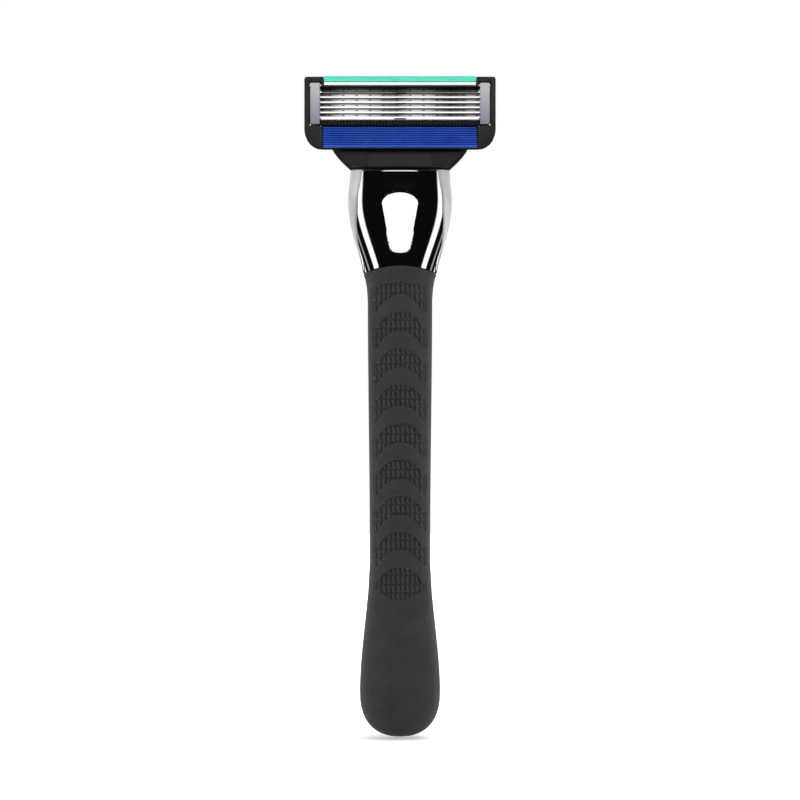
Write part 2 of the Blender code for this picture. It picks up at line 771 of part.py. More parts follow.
def make_connector():
    base = HANDLE_LENGTH + GAP
    top = PIVOT_Z - GAP
    shelf = PIVOT_Z + CARTRIDGE_BOTTOM - 2 * GAP
    middle = PIVOT_Y + CONNECTOR_SPLIT
    back = prism("connector", connector_outline(base, top), "Y", CONNECTOR_BACK, middle)
    skirt = connector_outline(base + SKIRT_RISE, shelf, SKIRT_STEP)
    front = prism("guide_skirt", skirt, "Y", middle - ROOT_OVERLAP, CONNECTOR_FRONT)
    foot = HANDLE_LENGTH - NOSE_FOOT_DROP
    half_socket = NOSE_WIDTH / 2 + GAP
    socket = box(
        "guide_socket",
        (-half_socket, half_socket),
        (NOSE_BACK - GAP, NOSE_FRONT + GAP),
        (base - PAST, foot + NOSE_LENGTH + GAP),
    )
    plunger_y = PIVOT_Y - CAM_OFFSET
    half_plunger = PLUNGER_WIDTH / 2 + GAP
    deep = PLUNGER_THICKNESS / 2 + GAP
    channel = box(
        "guide_connector_channel",
        (-half_plunger, half_plunger),
        (plunger_y - deep, plunger_y + deep),
        (foot + NOSE_LENGTH - PAST / 2, top + PAST),
    )
    half_cam = CAM_WIDTH / 2 + GAP
    cam_slot = box(
        "guide_cam_slot",
        (-half_cam, half_cam),
        (PIVOT_Y - CAM_OFFSET - CAM_RADIUS - GAP, ABOVE_ALL),
        (PIVOT_Z - CAM_OFFSET - CAM_RADIUS, top + PAST),
    )
    additions, cutters = [front], [socket, channel, cam_slot]
    reach = LUG_THICKNESS / 2 + GAP + CHEEK_THICKNESS
    for sign in (-1, 1):
        cheek_x = (sign * LUG_OFFSET - reach, sign * LUG_OFFSET + reach)
        hole_x = (cheek_x[0] - PAST, cheek_x[1] + PAST)
        additions.append(round_bar(f"guide_cheeks_{sign}", (PIVOT_Y, PIVOT_Z), CHEEK_RADIUS, cheek_x, 20))
        hole_radius = PIN_RADIUS + RUNNING_GAP
        cutters.append(round_bar(f"guide_pin_hole_{sign}", (PIVOT_Y, PIVOT_Z), hole_radius, hole_x))
        lug_gap = LUG_THICKNESS / 2 + GAP
        cutters.append(
            box(
                f"guide_lug_slot_{sign}",
                (sign * LUG_OFFSET - lug_gap, sign * LUG_OFFSET + lug_gap),
                (PIVOT_Y - LUG_RADIUS - GAP, ABOVE_ALL),
                (PIVOT_Z - LUG_RADIUS - GAP, top + 2 * PAST),
            )
        )
    join(back, *additions)
    cut(back, *cutters)
    return back


def from_pivot(outline):
    return [(PIVOT_Y + y, PIVOT_Z + z) for y, z in outline]


def cartridge_box(name, x, y, z):
    return box(name, x, (PIVOT_Y + y[0], PIVOT_Y + y[1]), (PIVOT_Z + z[0], PIVOT_Z + z[1]))


def cartridge_outline():
    """Frame seen from the front: small corners by the strip, large ones by the guard."""
    half = CARTRIDGE_WIDTH / 2
    corners = (
        (half, CARTRIDGE_TOP, TOP_CORNER, 0),
        (-half, CARTRIDGE_TOP, TOP_CORNER, 1),
        (-half, CARTRIDGE_BOTTOM, BOTTOM_CORNER, 2),
        (half, CARTRIDGE_BOTTOM, BOTTOM_CORNER, 3),
    )
    points = []
    for x, z, radius, quarter in corners:
        middle_x = x - math.copysign(radius, x)
        middle_z = z - radius if z > 0 else z + radius
        for index in range(7):
            turn = math.pi / 2 * (quarter + index / 6)
            points.append((middle_x + radius * math.cos(turn), PIVOT_Z + middle_z + radius * math.sin(turn)))
    return points


def make_frame():
    front = PIVOT_Y + CARTRIDGE_FRONT
    back = PIVOT_Y + CARTRIDGE_BACK
    frame = prism("cartridge_frame", cartridge_outline(), "Y", back, front)
    reach = CARTRIDGE_FRONT + PAST
    ledge = CARTRIDGE_BACK + BACK_WALL
    seat = CARTRIDGE_FRONT - STRIP_SEAT
    cutters = [
        cartridge_box(
            "guide_window", (-WINDOW_HALF, WINDOW_HALF), (ledge, reach), (WINDOW_BOTTOM, WINDOW_TOP)
        ),
        cartridge_box(
            "guide_strip_seat",
            (-STRIP_WIDTH / 2 - FINE_GAP, STRIP_WIDTH / 2 + FINE_GAP),
            (seat, reach),
            (STRIP_BOTTOM - FINE_GAP, CARTRIDGE_TOP + PAST),
        ),
        cartridge_box(
            "guide_guard_seat",
            (-GUARD_WIDTH / 2 - FINE_GAP, GUARD_WIDTH / 2 + FINE_GAP),
            (CARTRIDGE_FRONT - GUARD_DEPTH - FINE_GAP, reach),
            (CARTRIDGE_BOTTOM - PAST, GUARD_TOP + FINE_GAP),
        ),
        cartridge_box(
            "guide_comb_seat",
            (-COMB_WIDTH / 2 - FINE_GAP, COMB_WIDTH / 2 + FINE_GAP),
            (CARTRIDGE_FRONT - COMB_DEPTH - FINE_GAP, reach),
            (GUARD_TOP, WINDOW_BOTTOM + PAST / 4),
        ),
    ]
    for sign in (-1, 1):
        inner, outer = sign * CENTRE_RIB / 2, sign * (CLIP_INNER_EDGE - GAP / 2)
        cutters.append(
            cartridge_box(
                f"guide_back_window_{sign}",
                sorted((inner, outer)),
                (0, ledge + 1),
                (WINDOW_BOTTOM, WINDOW_TOP),
            )
        )
        clip_x = sorted((sign * (CLIP_INNER_EDGE - GAP), sign * (CLIP_INNER_EDGE + CLIP_WIDTH + GAP)))
        cutters.append(
            cartridge_box(
                f"guide_clip_face_{sign}",
                clip_x,
                (CARTRIDGE_FRONT - CLIP_THICKNESS - GAP, reach),
                (CLIP_BOTTOM - GAP, CLIP_TOP + GAP),
            )
        )
        for name, level in (("top", CLIP_TOP), ("low", CLIP_BOTTOM + CLIP_THICKNESS)):
            cutters.append(
                cartridge_box(
                    f"guide_clip_hole_{name}_{sign}",
                    clip_x,
                    (0, reach),
                    (level - CLIP_THICKNESS - GAP, level + GAP),
                )
            )
    for index, place in enumerate(RAIL_SLOT_PLACES):
        cutters.append(
            cartridge_box(
                f"guide_rail_slot_{index}",
                (place - RAIL_SLOT_WIDTH / 2, place + RAIL_SLOT_WIDTH / 2),
                (0, seat + 1),
                (RAIL_SLOT_Z - RAIL_SLOT_HEIGHT / 2, RAIL_SLOT_Z + RAIL_SLOT_HEIGHT / 2),
            )
        )
    cut(frame, *cutters)
    add_pivot_lugs(frame)
    return frame


def half_round(y, radius, sides=12):
    """Half circle that bulges away from the frame's back."""
    turns = [math.pi / 2 + math.pi * index / sides for index in range(sides + 1)]
    return [(y + radius * math.cos(turn), radius * math.sin(turn)) for turn in turns]


def add_pivot_lugs(frame):
    """Two bearing lugs and the middle cam, which stand on the frame's back."""
    lug_root = CARTRIDGE_BACK + ROOT_OVERLAP
    for sign in (-1, 1):
        x = (sign * LUG_OFFSET - LUG_THICKNESS / 2, sign * LUG_OFFSET + LUG_THICKNESS / 2)
        outline = [(lug_root, -LUG_RADIUS), (lug_root, LUG_RADIUS), *half_round(0.0, LUG_RADIUS)]
        lug = prism(f"guide_lug_{sign}", from_pivot(outline), "X", *x)
        bore_x = (x[0] - PAST / 2, x[1] + PAST / 2)
        bore = round_bar(f"guide_lug_bore_{sign}", (PIVOT_Y, PIVOT_Z), PIN_RADIUS + RUNNING_GAP, bore_x)
        join(frame, lug)
        cut(frame, bore)
    outline = [(lug_root, -CAM_RADIUS), (lug_root, CAM_RADIUS), *half_round(-CAM_OFFSET, CAM_RADIUS)]
    join(frame, prism("guide_cam", from_pivot(outline), "X", -CAM_WIDTH / 2, CAM_WIDTH / 2))


def make_blades():
    """Each blade is a ground strip lying on the slanted arm of a bent support."""
    slope = Vector((-math.sin(BLADE_ANGLE), math.cos(BLADE_ANGLE)))
    outward = Vector((math.cos(BLADE_ANGLE), math.sin(BLADE_ANGLE)))
    half = BLADE_LENGTH / 2
    pieces = []
    for number in range(BLADE_COUNT):
        edge = Vector((EDGE_Y, LOWEST_EDGE + number * BLADE_PITCH))
        strip = (
            edge,
            edge + BLADE_WIDTH * slope,
            edge + BLADE_WIDTH * slope - BLADE_THICKNESS * outward,
            edge + GRIND * slope - BLADE_THICKNESS * outward,
        )
        pieces.append(prism(f"blade_{number + 1}", from_pivot(strip), "X", -half, half))
        face = BLADE_THICKNESS + FINE_GAP / 2
        rear = face + SUPPORT_THICKNESS
        start = edge + SUPPORT_START * slope
        end = edge + (BLADE_WIDTH - FINE_GAP / 2) * slope - face * outward
        leg_bottom = end.y - LEG_THICKNESS
        bottom = start - rear * outward
        lift = (leg_bottom - bottom.y) / slope.y
        support = (
            start - face * outward,
            end,
            (end.x - LEG_DEPTH, end.y),
            (end.x - LEG_DEPTH, leg_bottom),
            bottom + lift * slope,
            bottom,
        )
        pieces.append(prism(f"blade_support_{number + 1}", from_pivot(support), "X", -half, half))
    return pieces


def make_guard_bar():
    """Thin steel bar under the lowest blade."""
    low = WINDOW_BOTTOM + FINE_GAP
    front = EDGE_Y - GAP
    return cartridge_box(
        "guard_bar", (-BLADE_LENGTH / 2, BLADE_LENGTH / 2), (front - LEG_DEPTH, front), (low, low + GUARD_BAR)
    )


def make_guard_fins():
    """Soft guard: a row of level fins on a gently crowned front."""
    back = CARTRIDGE_FRONT - GUARD_DEPTH
    pitch = (GUARD_TOP - GUARD_BOTTOM) / FIN_COUNT

    def crown(height):
        share = 2 * (height - GUARD_BOTTOM) / (GUARD_TOP - GUARD_BOTTOM) - 1
        return CARTRIDGE_FRONT - GUARD_CROWN * share**2

    outline = [(back, GUARD_BOTTOM)]
    for number in range(FIN_COUNT):
        low = GUARD_BOTTOM + number * pitch
        outline.append((crown(low) - FIN_HEIGHT, low))
        outline += [(crown(low + share * pitch), low + share * pitch) for share in FIN_CROWN]
    outline += [(crown(GUARD_TOP) - FIN_HEIGHT, GUARD_TOP), (back, GUARD_TOP)]
    return prism("guard_fins", from_pivot(outline), "X", -GUARD_WIDTH / 2, GUARD_WIDTH / 2)


def make_guard_comb():
    """Bar whose front is cut into small teeth that stretch the skin."""
    back = PIVOT_Y + CARTRIDGE_FRONT - COMB_DEPTH
    root = back + COMB_BAR
    tip = PIVOT_Y + CARTRIDGE_FRONT - COMB_RECESS
    teeth = int(COMB_WIDTH / COMB_PITCH)
    left = -teeth * COMB_PITCH / 2
    outline = [(-left, back), (left, back)]
    for number in range(teeth):
        x = left + number * COMB_PITCH
        outline += [
            (x, root),
            (x + TOOTH_SHARES[0] * COMB_PITCH, tip),
            (x + TOOTH_SHARES[1] * COMB_PITCH, tip),
            (x + TOOTH_SHARES[2] * COMB_PITCH, root),
        ]
    return prism("guard_comb", outline, "Z", PIVOT_Z + COMB_BOTTOM, PIVOT_Z + COMB_TOP)


def make_strip():
    """White base with a ledge, and the coloured lubricating strip lying in it."""
    back = CARTRIDGE_FRONT - STRIP_SEAT + FINE_GAP
    wall = back + STRIP_BASE_WALL
    ledge_top = STRIP_BOTTOM + STRIP_LEDGE
    ledge_front = CARTRIDGE_FRONT - FINE_GAP
    base_outline = (
        (back, STRIP_BOTTOM),
        (ledge_front, STRIP_BOTTOM),
        (ledge_front, ledge_top),
        (wall, ledge_top),
        (wall, STRIP_TOP - GAP),
        (back, STRIP_TOP - GAP),
    )
    half = STRIP_WIDTH / 2
    base = prism("strip_base", from_pivot(base_outline), "X", -half, half)
    low = ledge_top + FINE_GAP
    front = CARTRIDGE_FRONT + STRIP_BULGE
    strip_outline = (
        (wall + FINE_GAP, low),
        (front - STRIP_ROUNDING[0], low),
        (front, low + STRIP_ROUNDING[1]),
        (front, STRIP_TOP - STRIP_ROUNDING[2]),
        (front - STRIP_ROUNDING[2], STRIP_TOP),
        (wall + FINE_GAP, STRIP_TOP),
    )
    strip = prism("lubricating_strip", from_pivot(strip_outline), "X", -half, half)
    return base, strip


def make_clips():
    """Steel bands: a front face, two legs through the frame and tabs bent in behind it."""
    pieces = []
    front = CARTRIDGE_FRONT + CLIP_STAND
    inside = front - CLIP_THICKNESS
    tab = CARTRIDGE_BACK - GAP
    rear = tab - CLIP_THICKNESS
    outline = (
        (front, CLIP_BOTTOM),
        (front, CLIP_TOP),
        (rear, CLIP_TOP),
        (rear, CLIP_TOP - UPPER_TAB),
        (tab, CLIP_TOP - UPPER_TAB),
        (tab, CLIP_TOP - CLIP_THICKNESS),
        (inside, CLIP_TOP - CLIP_THICKNESS),
        (inside, CLIP_BOTTOM + CLIP_THICKNESS),
        (tab, CLIP_BOTTOM + CLIP_THICKNESS),
        (tab, CLIP_BOTTOM + LOWER_TAB),
        (rear, CLIP_BOTTOM + LOWER_TAB),
        (rear, CLIP_BOTTOM),
    )
    for name, sign in (("clip_left", -1), ("clip_right", 1)):
        x = sorted((sign * CLIP_INNER_EDGE, sign * (CLIP_INNER_EDGE + CLIP_WIDTH)))
        pieces.append(prism(name, from_pivot(outline), "X", *x))
    return pieces


def make_pins():
    pieces = []
    reach = LUG_THICKNESS / 2 + GAP + CHEEK_THICKNESS - FINE_GAP
    for name, sign in (("pivot_pin_left", -1), ("pivot_pin_right", 1)):
        x = (sign * LUG_OFFSET - reach, sign * LUG_OFFSET + reach)
        pieces.append(round_bar(name, (PIVOT_Y, PIVOT_Z), PIN_RADIUS, x))
    return pieces


def paint(item, name, colour, roughness, metallic=0.0):
    material = bpy.data.materials.get(name)
    if material is None:
        material = bpy.data.materials.new(name)
        material.use_nodes = True
        shader = material.node_tree.nodes["Principled BSDF"]
        shader.inputs["Base Color"].default_value = (*colour, 1)
        shader.inputs["Roughness"].default_value = roughness
        shader.inputs["Metallic"].default_value = metallic
    item.data.materials.append(material)


FINISHES = {
    "chrome": ((0.55, 0.56, 0.58), 0.06, 1.0),
    "satin_silver": ((0.62, 0.64, 0.67), 0.32, 1.0),
    "steel": ((0.62, 0.62, 0.62), 0.22, 1.0),
    "spring_steel": ((0.42, 0.42, 0.42), 0.3, 1.0),
    "black_plastic": ((0.012, 0.012, 0.013), 0.35, 0.0),
    "black_rubber": ((0.02, 0.02, 0.021), 0.62, 0.0),
    "blue_rubber": ((0.01, 0.045, 0.36), 0.45, 0.0),
    "green_strip": ((0.06, 0.66, 0.43), 0.5, 0.0),
    "white_plastic": ((0.8, 0.82, 0.82), 0.45, 0.0),
}


def empty(name, place, parent=None):
    item = bpy.data.objects.new(name, None)
    item.location = Vector(place) * MM
    item.parent = parent
    bpy.context.scene.collection.objects.link(item)
    return item


def hang(parent, finish, *items):
    """Parents pieces without moving them, and gives them their finish."""
    bpy.context.view_layer.update()
    for item in items:
        paint(item, finish, *FINISHES[finish])
        item.parent = parent
        item.matrix_parent_inverse = parent.matrix_world.inverted()


def build():
    clear_scene()
    pieces = {
        "handle": [
            ("satin_silver", [make_handle_body()]),
            ("chrome", [make_top_plate(), make_thumb_ring(), make_neck_plate()]),
            ("black_rubber", [make_underside("rubber_grip", 0.02, SEAM - GAP / 2), make_thumb_pad()]),
            ("black_plastic", [make_nose()]),
        ],
    }
    bezel, cap, button_pad = make_button()
    pieces["handle"].append(("black_plastic", [bezel]))
    pieces["button"] = [("black_plastic", [cap]), ("black_rubber", [button_pad])]
    pieces["pusher"] = [("black_plastic", [make_pusher()])]
    plunger_y = PIVOT_Y - CAM_OFFSET
    wire = SPRING_WIRE / 2 + FINE_GAP
    foot = HANDLE_LENGTH - NOSE_FOOT_DROP
    plunger_spring = make_spring(
        "plunger_spring",
        (0, plunger_y, foot + NOSE_FLOOR + wire),
        (0, plunger_y, plunger_tip() - PLUNGER_LENGTH - wire),
        PLUNGER_SPRING_RADIUS,
    )
    spring_z = (HANDLE_LENGTH - PUSHER_TOP_DROP + BUTTON_TRAVEL + foot) / 2
    button_spring = make_spring(
        "button_spring",
        (0, POCKET_FLOOR - wire, spring_z),
        (0, BUTTON_FACE + BUTTON_THICKNESS + wire, spring_z),
        BUTTON_SPRING_RADIUS,
    )
    pieces["handle"].append(("spring_steel", [plunger_spring, button_spring]))
    pieces["plunger"] = [("black_plastic", [make_plunger()])]
    pieces["connector"] = [("black_plastic", [make_connector()]), ("steel", make_pins())]
    strip_base, strip = make_strip()
    pieces["cartridge"] = [
        ("black_plastic", [make_frame(), make_guard_comb()]),
        ("steel", make_blades() + [make_guard_bar()] + make_clips()),
        ("blue_rubber", [make_guard_fins()]),
        ("white_plastic", [strip_base]),
        ("green_strip", [strip]),
    ]
    places = {
        "handle": (0, 0, 0),
        "button": (0, BUTTON_FACE, BUTTON_Z),
        "pusher": (0, PUSHER_FACE, HANDLE_LENGTH - PUSHER_TOP_DROP),
        "plunger": (0, plunger_y, plunger_tip()),
        "connector": (0, PIVOT_Y, HANDLE_LENGTH),
        "cartridge": (0, PIVOT_Y, PIVOT_Z),
    }
    razor = empty("razor", (0, 0, 0))
    for group, contents in pieces.items():
        holder = empty(f"{group}_group", places[group], razor)
        for finish, items in contents:
            hang(holder, finish, *items)
    razor.matrix_world = Matrix.Translation((0, 0, -GRIP_MIDDLE * MM))
    bpy.context.view_layer.update()


build()
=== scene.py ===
import math

import bmesh
import bpy
import numpy as np
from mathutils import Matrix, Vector
from mathutils.bvhtree import BVHTree


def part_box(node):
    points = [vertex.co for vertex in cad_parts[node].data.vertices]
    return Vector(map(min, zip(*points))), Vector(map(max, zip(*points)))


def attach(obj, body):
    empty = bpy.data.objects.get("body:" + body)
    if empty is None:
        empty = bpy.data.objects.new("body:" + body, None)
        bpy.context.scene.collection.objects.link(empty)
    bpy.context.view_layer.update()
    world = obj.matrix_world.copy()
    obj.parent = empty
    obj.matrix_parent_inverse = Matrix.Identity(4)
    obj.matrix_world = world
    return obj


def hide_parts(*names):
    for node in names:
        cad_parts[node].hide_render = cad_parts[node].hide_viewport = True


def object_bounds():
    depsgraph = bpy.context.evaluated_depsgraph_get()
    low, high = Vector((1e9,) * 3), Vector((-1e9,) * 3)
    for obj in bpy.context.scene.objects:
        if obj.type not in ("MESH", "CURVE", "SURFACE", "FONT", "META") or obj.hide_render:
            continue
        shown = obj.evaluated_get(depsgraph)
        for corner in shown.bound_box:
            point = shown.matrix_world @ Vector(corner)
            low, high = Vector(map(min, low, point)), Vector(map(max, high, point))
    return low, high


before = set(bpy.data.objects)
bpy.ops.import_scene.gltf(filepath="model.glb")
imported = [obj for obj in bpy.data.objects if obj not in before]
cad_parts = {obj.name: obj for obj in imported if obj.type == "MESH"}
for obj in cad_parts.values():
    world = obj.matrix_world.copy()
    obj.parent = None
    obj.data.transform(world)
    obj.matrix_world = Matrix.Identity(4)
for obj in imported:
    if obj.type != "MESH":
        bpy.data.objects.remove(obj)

cadLow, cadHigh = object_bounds()
mm = 0.001
print("frame loaded:", len(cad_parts), "nodes")


# ---- nodes and materials

def linearColour(code):
    # sRGB hex such as "#8090a0" to linear red, green, blue and an alpha of one
    parts = [int(code[place:place + 2], 16) / 255 for place in (1, 3, 5)]
    return tuple(p / 12.92 if p <= 0.04045 else ((p + 0.055) / 1.055) ** 2.4 for p in parts) + (1.0,)


def addNode(tree, kind, settings=(), inputs=()):
    # one node with its settings; an input takes a value, an output, or a node for its first output
    node = tree.nodes.new("ShaderNode" + kind)
    for name, value in dict(settings).items():
        setattr(node, name, value)
    for key, value in (inputs if isinstance(inputs, dict) else dict(enumerate(inputs))).items():
        value = value.outputs[0] if isinstance(value, bpy.types.Node) else value
        if isinstance(value, bpy.types.NodeSocket):
            tree.links.new(value, node.inputs[key])
        else:
            node.inputs[key].default_value = value
    return node


def startMaterial(name):
    # an empty material; returns it with its tree and the object coordinates
    material = bpy.data.materials.new(name)
    material.use_nodes = True
    material.node_tree.nodes.clear()
    place = addNode(material.node_tree, "TexCoord").outputs["Object"]
    return material, material.node_tree, place


def shadeMaterial(tree, inputs):
    # ends a material with its shader
    shader = addNode(tree, "BsdfPrincipled", {}, inputs)
    addNode(tree, "OutputMaterial", {}, {"Surface": shader})


def noiseAt(tree, place, sizeMm, detail=3.0, stretch=(1, 1, 1)):
    # noise whose blobs are about sizeMm across, stretched along the axes whose share is small
    mapped = addNode(tree, "Mapping", {}, {"Vector": place, "Scale": stretch})
    inputs = {"Vector": mapped, "Scale": 1 / (sizeMm * mm), "Detail": detail}
    return addNode(tree, "TexNoise", {}, inputs)


mixColours = {"data_type": "RGBA"}  # its inputs are 0 the share, 6 the first colour and 7 the second
finish = {
    "patches": (0.35, 0.65), "paleEdge": (0.52, 0.62), "smudges": (0.3, 0.7),
    "smudgeDetail": 4.0, "grainDetail": 2.0, "grainStrength": 0.6,
}


def surfaceFinish(slot, name, look):
    # a general finish: two close shades in patches, paler sharp edges, uneven gloss and a fine grain;
    # returns its slot name and the material
    material, tree, place = startMaterial(name)
    stretch = look.get("stretch", (1, 1, 1))
    patches = (noiseAt(tree, place, look["patch"]), *finish["patches"], 0.0, 1.0)
    paleEdge = (addNode(tree, "NewGeometry").outputs["Pointiness"], *finish["paleEdge"], 0.0, 1.0)
    shade, other, edge = (linearColour(code) for code in look["shades"])
    for span, second in ((patches, other), (paleEdge, edge)):
        colours = {0: addNode(tree, "MapRange", {}, span), 6: shade, 7: second}
        shade = addNode(tree, "Mix", mixColours, colours).outputs[2]
    # painted reflection: the colour turns to a darker bluish grey lower down
    if "paintedShadeBelow" in look:
        low, high, lower = look["paintedShadeBelow"]
        height = addNode(tree, "SeparateXYZ", {}, [place]).outputs["Z"]
        share = addNode(tree, "MapRange", {}, (height, low * mm, high * mm, 0.0, 1.0))
        colours = {0: share, 6: linearColour(lower), 7: shade}
        shade = addNode(tree, "Mix", mixColours, colours).outputs[2]
    smudge = noiseAt(tree, place, look["smudge"], finish["smudgeDetail"], stretch)
    gloss = addNode(tree, "MapRange", {}, (smudge, *finish["smudges"], *look["roughness"]))
    inputs = {"Base Color": shade, "Roughness": gloss, **look.get("sockets", {})}
    if "grain" in look:
        size, depth = look["grain"]
        grain = noiseAt(tree, place, size, finish["grainDetail"], stretch)
        relief = {"Height": grain, "Distance": depth * mm, "Strength": finish["grainStrength"]}
        inputs["Normal"] = addNode(tree, "Bump", {}, relief)
    shadeMaterial(tree, inputs)
    return slot, material


# chrome-plated ABS, polished: a near mirror, with the faint uneven gloss of handling
chromePlate = surfaceFinish("chrome", "chromePlatedAbs", {
    "shades": ("#f2f3f3", "#f7f7f6", "#fbfbfb"), "patch": 9.0, "smudge": 6.0,
    "roughness": (0.025, 0.06), "sockets": {"Metallic": 1.0},
})
# vacuum-metallised plastic with a satin lacquer: soft wide highlights and a fine metal flake
satinSilver = surfaceFinish("satin_silver", "satinMetallisedPlastic", {
    "shades": ("#ccced3", "#d4d6da", "#e4e5e8"), "patch": 5.0, "smudge": 3.0,
    "roughness": (0.38, 0.46), "grain": (0.12, 0.004),
    "sockets": {"Metallic": 0.45, "Coat Weight": 0.15, "Coat Roughness": 0.2},
})
# moulded thermoplastic rubber: dull charcoal, a grain as fine as skin (drawn 0.25 mm so that it shows)
mouldedRubber = surfaceFinish("black_rubber", "mouldedRubber", {
    "shades": ("#28292b", "#2d2e31", "#424346"), "patch": 4.0, "smudge": 1.6,
    "roughness": (0.56, 0.7), "grain": (0.25, 0.02),
    "sockets": {"Specular IOR Level": 0.4, "Sheen Weight": 0.12, "Sheen Roughness": 0.5},
})
# dull rubber insert of the button: a little paler and flatter than the grip
buttonRubber = surfaceFinish("black_rubber", "mattButtonRubber", {
    "shades": ("#3c3d3d", "#434444", "#4d4e4e"), "patch": 3.0, "smudge": 1.0,
    "roughness": (0.68, 0.8), "grain": (0.18, 0.015), "sockets": {"Specular IOR Level": 0.35},
})
# moulded ABS, polished tool: glossy black with a slight orange peel
glossBlack = surfaceFinish("black_plastic", "polishedBlackAbs", {
    "shades": ("#141516", "#191a1b", "#2c2d2e"), "patch": 5.0, "smudge": 3.0,
    "roughness": (0.16, 0.26), "grain": (1.2, 0.004),
})
# moulded ABS from a spark-eroded tool: dark grey with a fine even texture, drawn at 0.2 mm
texturedBlack = surfaceFinish("black_plastic", "sparkErodedBlackAbs", {
    "shades": ("#1c1d1d", "#212222", "#262727"), "patch": 4.0, "smudge": 1.5,
    "roughness": (0.36, 0.5), "grain": (0.2, 0.012),
})
# pressed stainless sheet: cool grey with rolling lines along the blades
pressedSteel = surfaceFinish("steel", "pressedStainlessSheet", {
    "shades": ("#c3c5cc", "#d3d2d0", "#f2f2f2"), "patch": 2.5, "smudge": 0.5,
    "stretch": (0.12, 1, 1), "roughness": (0.2, 0.34), "grain": (0.12, 0.0012),
    "sockets": {"Metallic": 1.0},
})
# bright-annealed strip of the clips: soft sheen, warm grey, with a painted reflection that turns it darker and
# bluish towards the bottom
clipSteel = surfaceFinish("steel", "brightAnnealedStrip", {
    "shades": ("#c2c1c8", "#d0cdcd", "#cbc9cc"), "patch": 5.0, "smudge": 1.5,
    "roughness": (0.3, 0.42), "grain": (0.3, 0.002), "sockets": {"Metallic": 0.4},
    "paintedShadeBelow": (56.5, 64.5, "#8a8da3"),
})
# drawn spring wire: darker steel with drawing lines
springWire = surfaceFinish("spring_steel", "drawnSpringSteel", {
    "shades": ("#85878a", "#97999b", "#c0c0c0"), "patch": 0.8, "smudge": 0.3,
    "roughness": (0.25, 0.4), "grain": (0.1, 0.003), "sockets": {"Metallic": 1.0},
})
# soft moulded elastomer, dyed blue: silky, and paler at its sharp edges and fin crests
blueElastomer = surfaceFinish("blue_rubber", "blueElastomer", {
    "shades": ("#0b3a9c", "#0f43aa", "#3f72d2"), "patch": 3.0, "smudge": 1.2,
    "roughness": (0.36, 0.48), "grain": (0.2, 0.006),
    "sockets": {"Subsurface Weight": 0.05, "Subsurface Scale": 0.0005},
})
# extruded water-soluble polymer with lubricant: waxy mint green, slightly mottled
waxyStrip = surfaceFinish("green_strip", "waxyMintStrip", {
    "shades": ("#4ed2b2", "#58d8ba", "#6cdcc4"), "patch": 0.9, "smudge": 0.8,
    "roughness": (0.42, 0.58), "grain": (0.22, 0.004),
    "sockets": {"Subsurface Weight": 0.12, "Subsurface Scale": 0.0006},
})
# moulded white polystyrene of the strip's base: milky, with a soft gloss
milkyPlastic = surfaceFinish("white_plastic", "milkyPolystyrene", {
    "shades": ("#e3ecea", "#eef3f2", "#f8fbfb"), "patch": 2.0, "smudge": 1.5,
    "roughness": (0.35, 0.45), "grain": (0.4, 0.004),
    "sockets": {"Subsurface Weight": 0.1, "Subsurface Scale": 0.0005},
})


